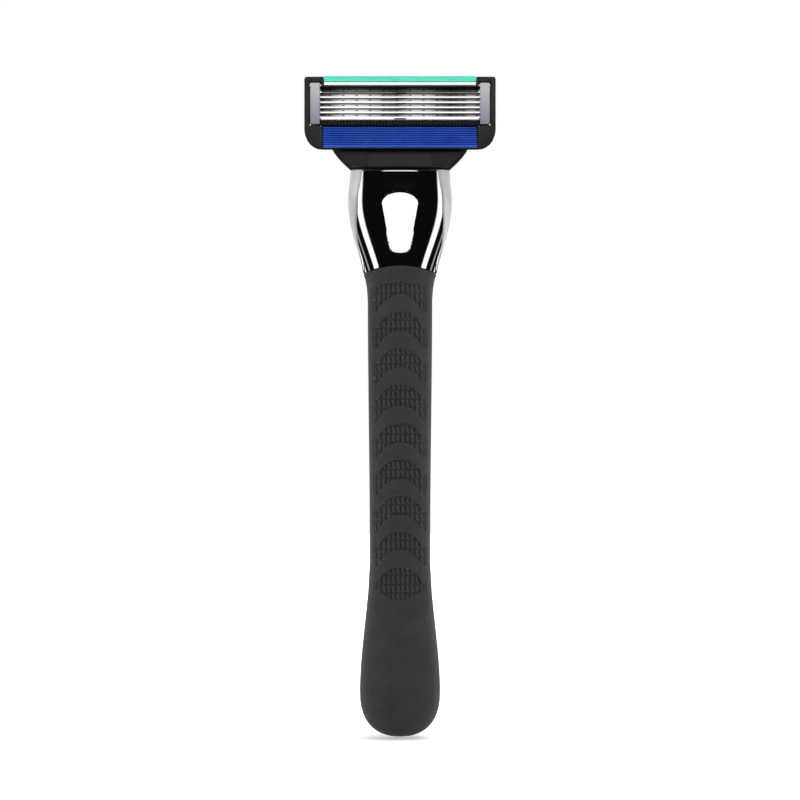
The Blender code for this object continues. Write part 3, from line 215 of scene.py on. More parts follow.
def makeBladeSteel():
    # ground martensitic strip: a lapped edge that reads white, and a grey strip with spot welds above it, with
    # a painted reflection in bright and dim stretches along the blade
    look = {
        "weldPitch": 2.94, "weldStart": 0.69, "weldLength": 0.5, "weldHeight": 0.22, "weldRise": 0.66,
        "weldCore": 0.06, "weldFall": 0.75, "edge": 0.37, "edgeBlur": 0.02, "lineWidth": 0.25,
        "stretch": (0.05, 1, 1), "lines": (0.3, 0.7), "reach": 18.4, "roughness": (0.3, 0.16),
        "strip": ("#e4e5e6", "#f6f6f6"), "burn": "#151516", "lapped": "#fbfbfb", "sheen": (
            (0.02, 0.42), (0.08, 0.5), (0.16, 0.16), (0.24, 0.22), (0.34, 0.85), (0.43, 0.95), (0.5, 0.4),
            (0.56, 0.3), (0.64, 0.75), (0.72, 1.1), (0.83, 1.2), (0.9, 0.5), (0.97, 0.04),
        ),
    }
    material, tree, place = startMaterial("groundBladeSteel")
    x = addNode(tree, "SeparateXYZ", {}, [place]).outputs["X"]
    across = addNode(tree, "Attribute", {"attribute_name": "across"}).outputs["Fac"]
    pitch = look["weldPitch"]
    shift = (50 * pitch - look["weldStart"]) * mm  # fifty pitches keep the count of welds above nought
    toWeld = (("ADD", shift), ("DIVIDE", pitch * mm), ("PINGPONG", 0.5))
    toMiddle = (("SUBTRACT", look["weldRise"]), ("ABSOLUTE", 0.0))
    masks = []
    sizes = look["weldLength"] / pitch, look["weldHeight"]
    for value, steps, size in zip((x, across), (toWeld, toMiddle), sizes):
        for operation, second in steps:
            value = addNode(tree, "Math", {"operation": operation}, (value, second))
        span = (value, look["weldCore"], size * look["weldFall"], 1.0, 0.0)
        masks.append(addNode(tree, "MapRange", {}, span))
    weld = addNode(tree, "Math", {"operation": "MULTIPLY"}, masks)
    lines = noiseAt(tree, place, look["lineWidth"], 3.0, look["stretch"])
    share = addNode(tree, "MapRange", {}, (lines, *look["lines"], 0.0, 1.0))
    first, second = (linearColour(code) for code in look["strip"])
    strip = addNode(tree, "Mix", mixColours, {0: share, 6: first, 7: second}).outputs[2]
    reach = look["reach"] * mm
    paintedSheen = addNode(tree, "ValToRGB", {}, [addNode(tree, "MapRange", {}, (x, -reach, reach, 0.0, 1.0))])
    for share, shade in look["sheen"]:  # painted reflection: bright and dim stretches along the blade, multiplied into its colour
        paintedSheen.color_ramp.elements.new(share).color = (shade, shade, shade, 1)
    multiply = {**mixColours, "blend_type": "MULTIPLY"}
    strip = addNode(tree, "Mix", multiply, {0: 1.0, 6: strip, 7: paintedSheen}).outputs[2]
    low, high = look["edge"] - look["edgeBlur"], look["edge"] + look["edgeBlur"]
    ground = addNode(tree, "MapRange", {}, (across, low, high, 1.0, 0.0))
    for share, code in ((weld, look["burn"]), (ground, look["lapped"])):
        colours = {0: share, 6: strip, 7: linearColour(code)}
        strip = addNode(tree, "Mix", mixColours, colours).outputs[2]
    gloss = addNode(tree, "MapRange", {}, (ground, 0.0, 1.0, *look["roughness"]))
    shadeMaterial(tree, {"Base Color": strip, "Roughness": gloss, "Metallic": 1.0})
    return "steel", material


bladeSteel = makeBladeSteel()
print("materials made")


# ---- mesh tools, all in millimetres

def finishPiece(name, mesh, body, material, stands, bevel, angle):
    mesh.shade_smooth()
    mesh.set_sharp_from_angle(angle=math.radians(angle))
    piece = bpy.data.objects.new(name, mesh)
    bpy.context.scene.collection.objects.link(piece)
    mesh.materials.clear()
    mesh.materials.append(material)
    if bevel:
        edge = piece.modifiers.new("edges", "BEVEL")
        edge.width, edge.segments = bevel * mm, 3
        edge.limit_method, edge.angle_limit = "ANGLE", math.radians(angle)
        edge.harden_normals = True
    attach(piece, body)
    if stands:
        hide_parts(*stands)


def addPiece(name, body, slot, material, points, faces, ends=(), stands=(), bevel=0, angle=35, across=None):
    # a piece from points and faces: doubles merged, loose points dropped, faces turned outwards
    mesh = bpy.data.meshes.new(name)
    corners = np.asarray(faces).tolist() + [list(end) for end in ends]
    mesh.from_pydata((np.asarray(points) * mm).tolist(), [], corners)
    if across is not None:
        values = mesh.attributes.new("across", "FLOAT", "POINT").data
        values.foreach_set("value", np.asarray(across, np.float32))
    work = bmesh.new()
    work.from_mesh(mesh)
    bmesh.ops.remove_doubles(work, verts=work.verts, dist=0.002 * mm)
    bmesh.ops.delete(work, geom=[point for point in work.verts if not point.link_faces], context="VERTS")
    bmesh.ops.recalc_face_normals(work, faces=work.faces)
    work.to_mesh(mesh)
    work.free()
    finishPiece(name, mesh, body, material, stands, bevel, angle)


def softened(node, name, body, slot, material, bevel, angle=30, flat=1.0):
    # a copy of a CAD node with its triangles joined into whole faces and its sharp edges rounded
    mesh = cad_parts[node].data.copy()
    mesh.name = name
    work = bmesh.new()
    work.from_mesh(mesh)
    bmesh.ops.remove_doubles(work, verts=work.verts, dist=0.002 * mm)
    if flat:
        bmesh.ops.dissolve_limit(work, angle_limit=math.radians(flat), verts=work.verts, edges=work.edges)
    work.to_mesh(mesh)
    work.free()
    finishPiece(name, mesh, body, material, (node,), bevel, angle)


def gridFaces(rows, columns, joinRows=False, joinColumns=False):
    # quads of points numbered row by row; joining closes the last row or column to the first
    row = np.arange(rows - (not joinRows))[:, None]
    column = np.arange(columns - (not joinColumns))[None, :]
    here, above = row * columns, (row + 1) % rows * columns
    beside = (column + 1) % columns
    return np.stack([here + column, here + beside, above + beside, above + column], -1).reshape(-1, 4)


def stacked(x, y, z):
    # a row of points from widths, depths and heights of shapes that fit together
    return np.stack(np.broadcast_arrays(x, y, z), -1).reshape(-1, 3)


def closedSheet(front, back, faces):
    # the front sheet, its back turned round, and a wall along every edge that only one face has
    count = len(front)
    edges = np.concatenate([faces[:, [side, (side + 1) % 4]] for side in range(4)])
    _, first, uses = np.unique(np.sort(edges, axis=1), axis=0, return_index=True, return_counts=True)
    rim = edges[first[uses == 1]]
    walls = np.column_stack([rim[:, 1], rim[:, 0], rim[:, 0] + count, rim[:, 1] + count])
    return np.concatenate([front, back]), np.concatenate([faces, faces[:, ::-1] + count, walls])


def roundedPolygon(corners, reaches, steps=7):
    # each corner is cut off at its reach along both sides and eased by a parabola
    corners = np.asarray(corners, float)
    share = np.linspace(0, 1, steps)[:, None]
    parts = []
    for before, corner, after, reach in zip(np.roll(corners, 1, 0), corners, np.roll(corners, -1, 0), reaches):
        start = corner + (before - corner) / np.linalg.norm(before - corner) * reach
        end = corner + (after - corner) / np.linalg.norm(after - corner) * reach
        parts.append((1 - share) ** 2 * start + 2 * share * (1 - share) * corner + share**2 * end)
    return np.concatenate(parts)


def outlineDistance(x, z, outline):
    # distance to the nearest side of a closed outline, below nought inside it (an odd count of crossings)
    startX, startZ = outline[:, 0], outline[:, 1]
    endX, endZ = np.roll(startX, -1), np.roll(startZ, -1)
    flatX, flatZ = np.ravel(x)[:, None], np.ravel(z)[:, None]
    alongX, alongZ = endX - startX, endZ - startZ
    share = ((flatX - startX) * alongX + (flatZ - startZ) * alongZ) / np.maximum(alongX**2 + alongZ**2, 1e-12)
    share = np.clip(share, 0, 1)
    apart = np.hypot(flatX - startX - share * alongX, flatZ - startZ - share * alongZ).min(1)
    level = (startZ > flatZ) != (endZ > flatZ)
    crossing = startX + (flatZ - startZ) / np.where(np.abs(alongZ) < 1e-9, 1e-9, alongZ) * alongX
    inside = (level & (flatX < crossing)).sum(1) % 2 == 1
    return np.where(inside, -apart, apart).reshape(np.shape(x))


def snapped(x, z, outline, level, reach):
    # grid points within reach of the outline's level line moved onto it, with their distances
    apart, step = outlineDistance(x, z, outline), 0.01
    slopeX = (outlineDistance(x + step, z, outline) - apart) / step
    slopeZ = (outlineDistance(x, z + step, outline) - apart) / step
    near = np.abs(apart - level) < reach
    move = np.where(near, level - apart, 0)
    return x + move * slopeX, z + move * slopeZ, np.where(near, level, apart)


def ease(share):
    share = np.clip(share, 0, 1)
    return share * share * (3 - 2 * share)


def rounding(share):
    # how far a quarter round falls: nought at its inner end, one at its rim
    return 1 - np.sqrt(1 - np.clip(share, 0, 1) ** 2)


# ---- the handle's shape, by height above the butt

handle = {
    "length": 126.0, "bulb": 10.0, "squareness": 2.2, "buttSquareness": 2.4,
    "widths": ((10, 17.9), (40, 13.5), (97, 14.4), (119.1, 23.2), (126, 22.0)),
    "depths": ((10, 15.5), (40, 12.2), (97, 11.2), (119.1, 9.0), (126, 8.0)),
    "seams": ((97, 0.0), (119.1, 2.6)),
    "plateWidths": ((10, 13.3), (40, 12.0), (97, 12.0), (119.1, 20.8), (126, 19.4)),
    "bow": 65.0, "buttLean": 2.0, "neckLean": 3.2, "gap": 0.3, "archRise": 0.9, "archSag": 1.75,
}
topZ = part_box("handle_body")[1].z / mm
buttDrop = handle["length"] - topZ  # a height less this is the row frame's Z


def along(height, keys):
    # first value, plus each step to the next one eased in between its two heights
    value = np.full_like(height, keys[0][1], dtype=float)
    for (low, start), (high, end) in zip(keys, keys[1:]):
        value = value + (end - start) * ease((height - low) / (high - low))
    return value


def buttRounding(height):
    power = handle["buttSquareness"]
    return (1 - np.clip(1 - height / handle["bulb"], 0, 1) ** power) ** (1 / power)


def halfWidth(height):
    return along(height, handle["widths"]) * buttRounding(height) / 2


def halfDepth(height):
    return along(height, handle["depths"]) * buttRounding(height) / 2


def middleY(height):
    bow, rise = handle["bow"], handle["length"] - handle["bow"]
    butt = handle["buttLean"] * (1 - height / bow) ** 2
    return np.where(height < bow, butt, handle["neckLean"] * ((height - bow) / rise) ** 2)


def skinY(x, height, side):
    # the section is a superellipse: depth share = (1 - width share ^ squareness) ^ (1 / squareness)
    power = handle["squareness"]
    share = np.clip(np.abs(x) / halfWidth(height), 0, 1)
    return middleY(height) + side * halfDepth(height) * (1 - share**power) ** (1 / power)


def bladeSideSection(height, columns, offset=0.0):
    # rows of section points from seam to seam round the blade side, evenly spaced along a middling section
    power = 2 / handle["squareness"]
    fine = np.linspace(0, np.pi, 721)
    fineX = np.sign(np.cos(fine)) * np.abs(np.cos(fine)) ** power * 1.15
    fineY = np.abs(np.sin(fine)) ** power
    arc = np.concatenate([[0], np.cumsum(np.hypot(np.diff(fineX), np.diff(fineY)))])
    wide = np.maximum(halfWidth(height) + offset, 0.02)
    deep = np.maximum(halfDepth(height) + offset, 0.02)
    seam = along(height, handle["seams"]) + handle["gap"] / 2
    share = np.clip(seam / deep, -0.95, 0.95)
    start = np.arcsin(np.abs(share) ** (1 / power))
    startArc = np.interp(start, fine, arc)[:, None]
    spread = np.linspace(0, 1, columns)[None, :]
    turn = np.interp(startArc + (arc[-1] - 2 * startArc) * spread, arc, fine)
    x = np.sign(np.cos(turn)) * np.abs(np.cos(turn)) ** power * wide[:, None]
    y = middleY(height)[:, None] + np.abs(np.sin(turn)) ** power * deep[:, None]
    return x, y


def seamArch(x, height):
    # how far the line between grip and neck plate stands above its level: most in the middle
    return handle["archRise"] - handle["archSag"] * (x / halfWidth(height)) ** 2


def inRow(x, y, height):
    # points of the row frame, in millimetres, from widths, depths and heights above the butt
    return stacked(x, y, np.asarray(height) - buttDrop)


softened("handle_body", "handle_shell", "handle", *satinSilver, 0.12, angle=38, flat=0.05)

# ---- rubber grip: bands of smooth crescents over rows of small ribs

grip = {
    "top": 103.85, "wall": 1.75, "columns": 116, "rowStep": 0.2,
    "crescents": (98.26, 90.17, 82.2, 73.7, 65.5, 57.4, 49.4, 41.6), "bandHeight": 3.7, "archRadius": 5.0,
    "rowPitch": 1.955, "ribPitch": 1.055, "rowStart": 98.6, "fieldTop": 101.25, "fieldBottom": 30.6,
    "fieldHalf": 5.0, "sideHalf": 6.1, "base": 0.16, "ribDepth": 0.5, "bandLift": 0.06, "lip": 0.35,
    "archStart": 101.3,
}


def gripRelief(x, height):
    # depth of the pattern: nought on the crescents and the plain rubber, ribs and notches between them
    radius = grip["archRadius"]
    drop = radius - np.sqrt(np.maximum(radius**2 - x**2, (0.3 * radius) ** 2))
    level = height + drop  # the height of the arch that passes through the point
    band = np.zeros_like(level)
    for top in grip["crescents"]:
        inside = np.minimum(top - level, level - top + grip["bandHeight"])
        band = np.maximum(band, ease(inside / 0.22 + 0.5))
    topArch = grip["fieldTop"] - 0.045 * x**2 - level + drop
    bottomArch = height - grip["fieldBottom"] - 0.09 * x**2
    field = ease(np.minimum(topArch, bottomArch) / 0.25 + 0.5)
    sides = 1 - 0.45 * ease((np.abs(x) - grip["fieldHalf"]) / 0.5)
    sides = sides * (1 - ease((np.abs(x) - grip["sideHalf"] + 0.35) / 0.35))
    cell = (x / grip["ribPitch"]) % 1.0
    rise = ((height - grip["rowStart"]) / grip["rowPitch"]) % 1.0
    hook = cell + 0.28 * (1 - rise) ** 2.5  # each rib bends over at its lower end
    rib = ease((hook % 1.0) / 0.3) * (1 - ease(((hook % 1.0) - 0.62) / 0.34))
    notch = ease(rise / 0.2) * (1 - 0.8 * ease((rise - 0.86) / 0.12))
    depth = grip["base"] + grip["ribDepth"] * (1 - rib * notch)
    lift = grip["bandLift"] * band * field * (np.abs(x) < grip["fieldHalf"])
    return field * (1 - band) * sides * depth - lift


def makeRubberGrip():
    # rows of section points out along the skin and back along the inner wall, pushed in by the relief
    butt = np.array([0.02, 0.08, 0.2, 0.4, 0.7, 1.1, 1.6, 2.2, 3.0, 4.0, 5.2, 6.6, 8.2, 10.0])
    plain = np.arange(11.2, 29.6, 1.2)
    height = np.concatenate([butt, plain, np.arange(29.8, grip["top"] - 0.05, grip["rowStep"]), [grip["top"]]])
    x, y = bladeSideSection(height, grip["columns"])
    innerX, innerY = bladeSideSection(height, 14, -grip["wall"])
    tall = np.broadcast_to(height[:, None], x.shape)
    tall = tall + seamArch(x, tall) * ease((tall - grip["archStart"]) / (grip["top"] - grip["archStart"]))
    outY = y - middleY(height)[:, None]
    slope = outY / halfDepth(height)[:, None]
    relief = gripRelief(x, tall)
    lip = grip["lip"] * rounding(1 - (grip["top"] - height) / grip["lip"])[:, None]
    inward = relief + lip
    outerX = x * (1 - 0.5 * inward / halfWidth(height)[:, None])
    outer = np.stack([outerX, y - inward * np.clip(slope, 0.25, 1)], -1)
    inner = np.stack([innerX, innerY], -1)[:, ::-1]
    loop = np.concatenate([outer, inner], 1)
    tallLoop = np.concatenate([tall, np.broadcast_to(height[:, None], innerX.shape)], 1)
    points = inRow(loop[..., 0], loop[..., 1], tallLoop)
    columns = loop.shape[1]
    rows = len(height)
    ends = (range(columns), range((rows - 1) * columns, rows * columns))
    faces = gridFaces(rows, columns, joinColumns=True)
    addPiece("grip_rubber", "handle", *mouldedRubber, points, faces, ends, ("rubber_grip",), angle=50)


makeRubberGrip()
print("grip made")

# ---- chrome plate on the thumb side

plate = {
    "start": 2.2, "endRound": 6.3, "thickness": 1.15, "edgeRound": 0.35,
    "recess": ((-6.5, 110.1), (0.0, 109.15), (6.5, 110.1), (4.35, 98.9), (-4.35, 98.9)),
    "recessReach": (1.3, 3.4, 1.3, 3.2, 3.2), "rimWidth": 1.05, "rimLift": 0.26, "recessDepth": 0.55,
    "columns": 117, "fineStep": 0.17, "coarseStep": 0.9,
}
bezel = {"width": 15.1, "height": 16.3, "corner": 6.0, "wall": 0.95, "face": -3.5, "back": -0.3, "gap": 0.04}
bezelLow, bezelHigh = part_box("button_bezel")
buttonHeight = (bezelLow.z + bezelHigh.z) / 2 / mm + buttDrop


def roundedRectangle(wide, tall, corner, arcSteps=16, sideSteps=6):
    # four quarter circles, each followed by its straight side; the size doesn't change the number of points
    turn = np.linspace(0, np.pi / 2, arcSteps + 1)
    arcX, arcZ = wide - corner + corner * np.cos(turn), tall - corner + corner * np.sin(turn)
    arcs = [(arcX, arcZ), (-arcX[::-1], arcZ[::-1]), (-arcX, -arcZ), (arcX[::-1], -arcZ[::-1])]
    share = np.linspace(0, 1, sideSteps + 2)[1:-1]
    parts = []
    for arc, after in zip(arcs, arcs[1:] + arcs[:1]):
        arc, after = np.stack(arc), np.stack(after)
        parts += [arc, arc[:, -1:] + (after[:, :1] - arc[:, -1:]) * share]
    return np.concatenate(parts, 1)


def makeTopPlate():
    # the handle's skin between the plate's edges, with the recess pressed in and the button's hole left out
    low, high = plate["start"], handle["length"] - 0.02
    ends = low + np.array([0, 0.02, 0.08, 0.18, 0.35, 0.6, 0.95, 1.4, 2.0, 2.8, 3.8, 5.0, 6.3])
    heights = np.concatenate([
        ends, np.arange(9.4, 97.6, plate["coarseStep"]), np.arange(97.8, high - 0.45, plate["fineStep"]),
        high - np.array([0.35, 0.2, 0.1, 0.04, 0.0]),
    ])[:, None]
    u = np.linspace(-1, 1, plate["columns"])
    near = np.array([0.97, 0.982, 0.991, 0.997])
    u = np.sort(np.concatenate([u, near, -near]))[None, :]
    short = np.clip(1 - (heights - low) / plate["endRound"], 0, 1)
    half = along(heights, handle["plateWidths"]) / 2 * np.sqrt(1 - short**2)
    x, z = u * half, heights + 0 * u
    holeHalf, holeTall = bezel["width"] / 2 + bezel["gap"], bezel["height"] / 2 + bezel["gap"]
    hole = np.column_stack(roundedRectangle(holeHalf, holeTall, bezel["corner"])) + [0, buttonHeight]
    x, z, apart = snapped(x, z, hole, 0.0, 0.6 * plate["fineStep"])
    keep = apart > -0.001
    recess = roundedPolygon(plate["recess"], plate["recessReach"])
    for share in (1.0, 0.5, 0.0):
        x, z, deep = snapped(x, z, recess, -share * plate["rimWidth"], 0.45 * plate["fineStep"])
    deep = -deep
    rim = np.sin(np.pi * np.clip(deep / plate["rimWidth"], 0, 1)) * plate["rimLift"]
    relief = ease((deep - plate["rimWidth"] + 0.2) / 0.35) * plate["recessDepth"] - rim
    fromEdge = np.minimum(half * (1 - np.abs(u)) * np.ones_like(x), high - z)
    relief = relief + plate["edgeRound"] * rounding(1 - fromEdge / plate["edgeRound"])
    y = skinY(x, np.minimum(z, handle["length"]), -1)
    front, back = inRow(x, y + relief, z), inRow(x, y + plate["thickness"], z)
    faces = gridFaces(*x.shape)
    faces = faces[keep.ravel()[faces].all(1)]
    points, faces = closedSheet(front, back, faces)
    addPiece("plate_chrome", "handle", *chromePlate, points, faces, stands=("top_plate",), angle=40)


makeTopPlate()

# ---- chrome plate on the blade side of the neck, with its finger dish

neck = {
    "low": 103.95, "wall": 1.72, "columns": 131, "step": 0.2, "edgeRound": 0.45,
    "dishWidest": 118.3, "dishHalf": 4.25, "dishTop": 121.25, "dishLowHalf": 2.45, "dishLow": 107.7,
    "depthTop": 1.55, "depthLow": 0.38,
    "foot": ((-1.06, 1.7), (-0.98, 0.2), (0, -0.3), (0.98, 0.2), (1.06, 1.7)),
    "footReach": (0.05, 0.9, 1.2, 0.9, 0.05), "skinHalf": 8, "seamRound": 0.2, "seamShare": 0.025,
    "archReach": 2.5,
}


def makeNeckPlate():
    # the skin from seam to seam, dropping to one slanted flat floor inside the dish's outline
    low, high = neck["low"], handle["length"] - 0.02
    nearTop = high - np.array([0.5, 0.35, 0.22, 0.12, 0.05, 0.0])
    heights = np.concatenate([np.arange(low, high - 0.6, neck["step"]), nearTop])
    x, y = bladeSideSection(heights, neck["columns"])
    backX, backY = bladeSideSection(heights, neck["columns"], -neck["wall"])
    z = np.broadcast_to(heights[:, None], x.shape)
    z = z + seamArch(x, z) * (1 - ease((z - low) / neck["archReach"]))
    turn = np.linspace(0.12, np.pi - 0.12, 15)
    arched = neck["dishWidest"] + (neck["dishTop"] - neck["dishWidest"]) * np.sin(turn)
    top = np.column_stack([neck["dishHalf"] * np.cos(turn), arched])
    foot = [(share * neck["dishLowHalf"], neck["dishLow"] + rise) for share, rise in neck["foot"]]
    bottom = roundedPolygon(foot, neck["footReach"])
    dish = np.concatenate([top, bottom])  # a teardrop: a wide arch above, narrowing to a short rounded foot
    step = neck["step"]
    x, z, apart = snapped(x, z, dish, -step, 0.5 * step)
    x, z, apart = snapped(x, z, dish, 0.0, 0.5 * step)
    y = np.where(np.abs(x) < neck["skinHalf"], skinY(x, z, 1), y)
    wall = np.clip(-apart / step, 0, 1)
    crest = np.array([neck["dishLow"], neck["dishTop"]])
    floorEnds = skinY(0 * crest, crest, 1) - [neck["depthLow"], neck["depthTop"]]
    floor = floorEnds[0] + (floorEnds[1] - floorEnds[0]) * (z - crest[0]) / (crest[1] - crest[0])
    y = np.where(wall > 0, y + (np.minimum(floor, y) - y) * wall, y)
    fromSeam = 1 - np.abs(np.linspace(-1, 1, neck["columns"]))[None, :]
    inward = neck["edgeRound"] * rounding(1 - (high - z) / neck["edgeRound"])
    inward = inward + neck["seamRound"] * rounding(1 - fromSeam / neck["seamShare"])
    front = inRow(x * (1 - 0.4 * inward / halfWidth(z)), y - inward, z)
    back = inRow(backX, backY, z)
    points, faces = closedSheet(front, back, gridFaces(*x.shape))
    addPiece("neck_chrome", "handle", *chromePlate, points, faces, stands=("neck_plate",), angle=40)


makeNeckPlate()
print("chrome plates made")

# ---- thumb ring and pad

pad = {
    "half": 5.1, "low": 63.5, "high": 92.4, "lift": 0.95, "edgeRound": 0.55, "sink": 0.05,
    "scallops": (88.55, 84.05, 79.65, 75.25, 70.85), "scallopHalf": 4.05, "radius": 4.2,
    "height": 2.1, "depth": 0.62,
    "rows": 230, "columns": 74,
}
ring = {"half": 6.1, "low": 63.0, "high": 94.6, "lift": 0.85, "columns": 260}


def stadium(half, low, high, count):
    # points at even steps of turn round two half circles joined by straight sides
    share = np.linspace(0, 1, count, endpoint=False)
    straight = high - low - 2 * half
    length = 2 * straight + 2 * np.pi * half
    walk = share * length
    ends = np.cumsum([straight, np.pi * half, straight, np.pi * half])
    leg = np.searchsorted(ends, walk, side="right")
    local = walk - np.concatenate([[0], ends])[leg]
    turn = local / half
    x = np.choose(leg, [half + 0 * walk, half * np.cos(turn), -half + 0 * walk, -half * np.cos(turn)])
    top, bottom = high - half, low + half
    z = np.choose(leg, [bottom + local, top + half * np.sin(turn), top - local, bottom - half * np.sin(turn)])
    return x, z


def makeThumbRing():
    # from the pad's outline to the ring's own, carried over a half-round profile and back along the plate
    innerX, innerZ = stadium(pad["half"] + 0.06, pad["low"] - 0.06, pad["high"] + 0.06, ring["columns"])
    outerX, outerZ = stadium(ring["half"], ring["low"], ring["high"], ring["columns"])
    turn = np.linspace(0, np.pi, 13)
    share = np.concatenate([(1 - np.cos(turn)) / 2, [0.75, 0.25]])[:, None]
    lift = np.concatenate([np.sin(turn) ** 0.8 * ring["lift"], [0, 0]])[:, None]
    x, z = innerX + (outerX - innerX) * share, innerZ + (outerZ - innerZ) * share
    y = skinY(x, z, -1) - lift + pad["sink"]
    faces = gridFaces(*x.shape, joinRows=True, joinColumns=True)
    addPiece("thumb_rim", "handle", *chromePlate, inRow(x, y, z), faces, stands=("thumb_ring",), angle=60)


def makeThumbPad():
    # a long pad with round ends, rounded at its rim, with five crescent hollows that end in a step
    radius, half = pad["half"], pad["half"]
    spread = (1 - np.cos(np.linspace(0, np.pi, pad["rows"]))) / 2
    even = np.linspace(0, 1, pad["rows"])
    z = (pad["low"] + (pad["high"] - pad["low"]) * (0.25 * spread + 0.75 * even))[:, None]
    fromEnd = np.minimum(z - pad["low"], pad["high"] - z)
    wide = np.sqrt(np.clip(half**2 - np.clip(radius - fromEnd, 0, radius) ** 2, 1e-8, None))
    even = np.linspace(-1, 1, pad["columns"])
    u = np.sin(even * np.pi / 2) * 0.35 + even * 0.65
    x, z = u[None, :] * wide, z + 0 * u[None, :]
    centre = np.clip(z, pad["low"] + radius, pad["high"] - radius)
    fromRim = np.clip(half - np.hypot(x, z - centre), 0, half)
    lift = pad["lift"] * (1 - rounding(1 - fromRim / pad["edgeRound"]))
    for top in pad["scallops"]:
        reach = np.clip(1 - (x / pad["scallopHalf"]) ** 2, 0, 1)
        drop = pad["radius"] - np.sqrt(np.maximum(pad["radius"] ** 2 - x**2, 0.2))
        above = z - top + drop
        tall = pad["height"] * np.sqrt(reach) + 0.001
        hollow = ease(above / 0.16 + 0.5) * (1 - np.clip(above / tall, 0, 1)) ** 1.3
        lift = lift - pad["depth"] * hollow * np.minimum(1, 2.5 * np.sqrt(reach))
    y = skinY(x, z, -1)
    front, back = inRow(x, y - np.maximum(lift, 0.02) + pad["sink"], z), inRow(x, y + pad["sink"], z)
    points, faces = closedSheet(front, back, gridFaces(*x.shape))
    addPiece("thumb_rubber", "handle", *mouldedRubber, points, faces, stands=("thumb_pad",), angle=50)


makeThumbRing()
makeThumbPad()
print("thumb pad made")


# ---- release button

button = {
    "gap": 0.3, "seat": -1.65, "tip": 0.001, "lip": (0.35, 0.42),
    "capEdge": (
        (0, -3.5), (0.04, -3.75), (0.16, -3.98), (0.36, -4.13), (0.6, -4.19), (0.85, -4.17), (1.15, -4.08),
    ),
    "capHollow": (
        (4.6, 4.75, 3.5, -3.72), (4.15, 4.15, 3.3, -3.6), (4.08, 4.08, 3.25, -3.5), (4.08, 4.08, 3.25, -3.05),
    ),
    "padWall": ((4.0, 4.0, 3.2, -3.1), (4.0, 4.0, 3.2, -3.55), (3.9, 3.9, 3.1, -3.66)),
    "padHalf": 3.7, "padCorner": 0.19, "padMiddle": -3.42, "padDish": 0.26,
    "padShares": (1, 0.92, 0.82, 0.7, 0.56, 0.4, 0.25, 0.1, 0.0003),
}


def makeStations(name, body, slot, material, stations, joined, stands):
    # rounded rectangles of given half width, half height and corner, each at its own depth, joined in order
    rings = np.stack([roundedRectangle(wide, tall, max(corner, 1e-4)) for wide, tall, corner, _ in stations])
    x, z = rings[:, 0], rings[:, 1] + buttonHeight
    y = np.array([station[3] for station in stations])[:, None]
    faces = gridFaces(*x.shape, joinRows=joined, joinColumns=True)
    addPiece(name, body, slot, material, inRow(x, y, z), faces, stands=stands, angle=45)


def makeButton():
    half, tall, corner, wall = bezel["width"] / 2, bezel["height"] / 2, bezel["corner"], bezel["wall"]
    face, back, tip = bezel["face"], bezel["back"], button["tip"]
    ends = [(half, tall, corner, back), (half - wall, tall - wall, corner - wall, back)]
    lip = []
    for turn in np.linspace(0, np.pi, 9):  # a half-round lip from the outer wall to the inner one
        inset = wall * (1 - math.cos(turn)) / 2
        y = face + button["lip"][0] - button["lip"][1] * math.sin(turn) ** 0.8
        lip.append((half - inset, tall - inset, corner - inset, y))
    stations = ends[:1] + lip + ends[1:]
    makeStations("button_rim", "handle", *glossBlack, stations, True, ("button_bezel",))
    inset = wall + button["gap"]
    wide, high, round_ = half - inset, tall - inset, corner - inset
    cap = [(tip, tip, 0, button["seat"]), (wide, high, round_, button["seat"])]
    cap += [(wide - inset, high - inset, round_ - 0.6 * inset, y) for inset, y in button["capEdge"]]
    cap += [*button["capHollow"], (tip, tip, 0, button["capHollow"][-1][3])]
    makeStations("button_ring", "button", *glossBlack, cap, False, ("button_cap",))
    insert = [(tip, tip, 0, button["padWall"][0][3]), *button["padWall"]]
    for share in button["padShares"]:
        size = button["padHalf"] * share
        round_ = size * (1 - button["padCorner"] * share)
        insert.append((size, size, round_, button["padMiddle"] - button["padDish"] * share**2))
    makeStations("button_insert", "button", *buttonRubber, insert, False, ("button_pad",))


makeButton()
print("button made")

# ---- mechanism

softened("docking_nose", "nose_block", "handle", *texturedBlack, 0.2)
softened("pusher", "pusher_fork", "pusher", *texturedBlack, 0.1)
softened("plunger", "plunger_rod", "plunger", *texturedBlack, 0.12)
for end in ("plunger", "button"):
    softened(f"{end}_spring", f"coil_{end}", "handle", *springWire, 0, angle=60, flat=0.05)
for side in ("left", "right"):
    softened(f"pivot_pin_{side}", f"pin_{side}", "connector", *pressedSteel, 0.12, angle=40)

# ---- connector

softened("connector", "connector_shell", "connector", *texturedBlack, 0.25)


connectorLook = {
    "ledge": ((9.3, 133.9), (14.0, 133.9), (12.7, 132.75), (10.4, 132.75)),
    "slot": ((5.75, 129.8), (6.3, 129.8), (6.3, 132.3), (5.75, 132.3)),
    "dash": ((2.8, 133.6), (4.4, 133.6), (4.4, 134.0), (2.8, 134.0)),
    "rise": 0.22, "dot": (7.2, 134.1), "dotRadius": 0.55, "dotRise": 0.18,
    "arch": (0.0, 120.4), "archRadii": (9.55, 10.75), "archTurn": 0.9, "archRise": 0.3, "archChamfer": 0.02,
    "panelHalf": 7.2, "panelLow": 126.7, "panelTop": 129.4, "panelRise": 0.25, "panelChamfer": 0.3,
}


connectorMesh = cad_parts["connector"].data
connectorTree = BVHTree.FromPolygons(
    [point.co for point in connectorMesh.vertices], [list(face.vertices) for face in connectorMesh.polygons]
)


def connectorY(x, height, side):
    # depth of the connector's outermost surface on one side, by casting a ray onto it
    start = Vector((x * mm, side * 0.05, (height - buttDrop) * mm))
    spot = connectorTree.ray_cast(start, Vector((0, -side, 0)))[0]
    return spot.y / mm if spot else None


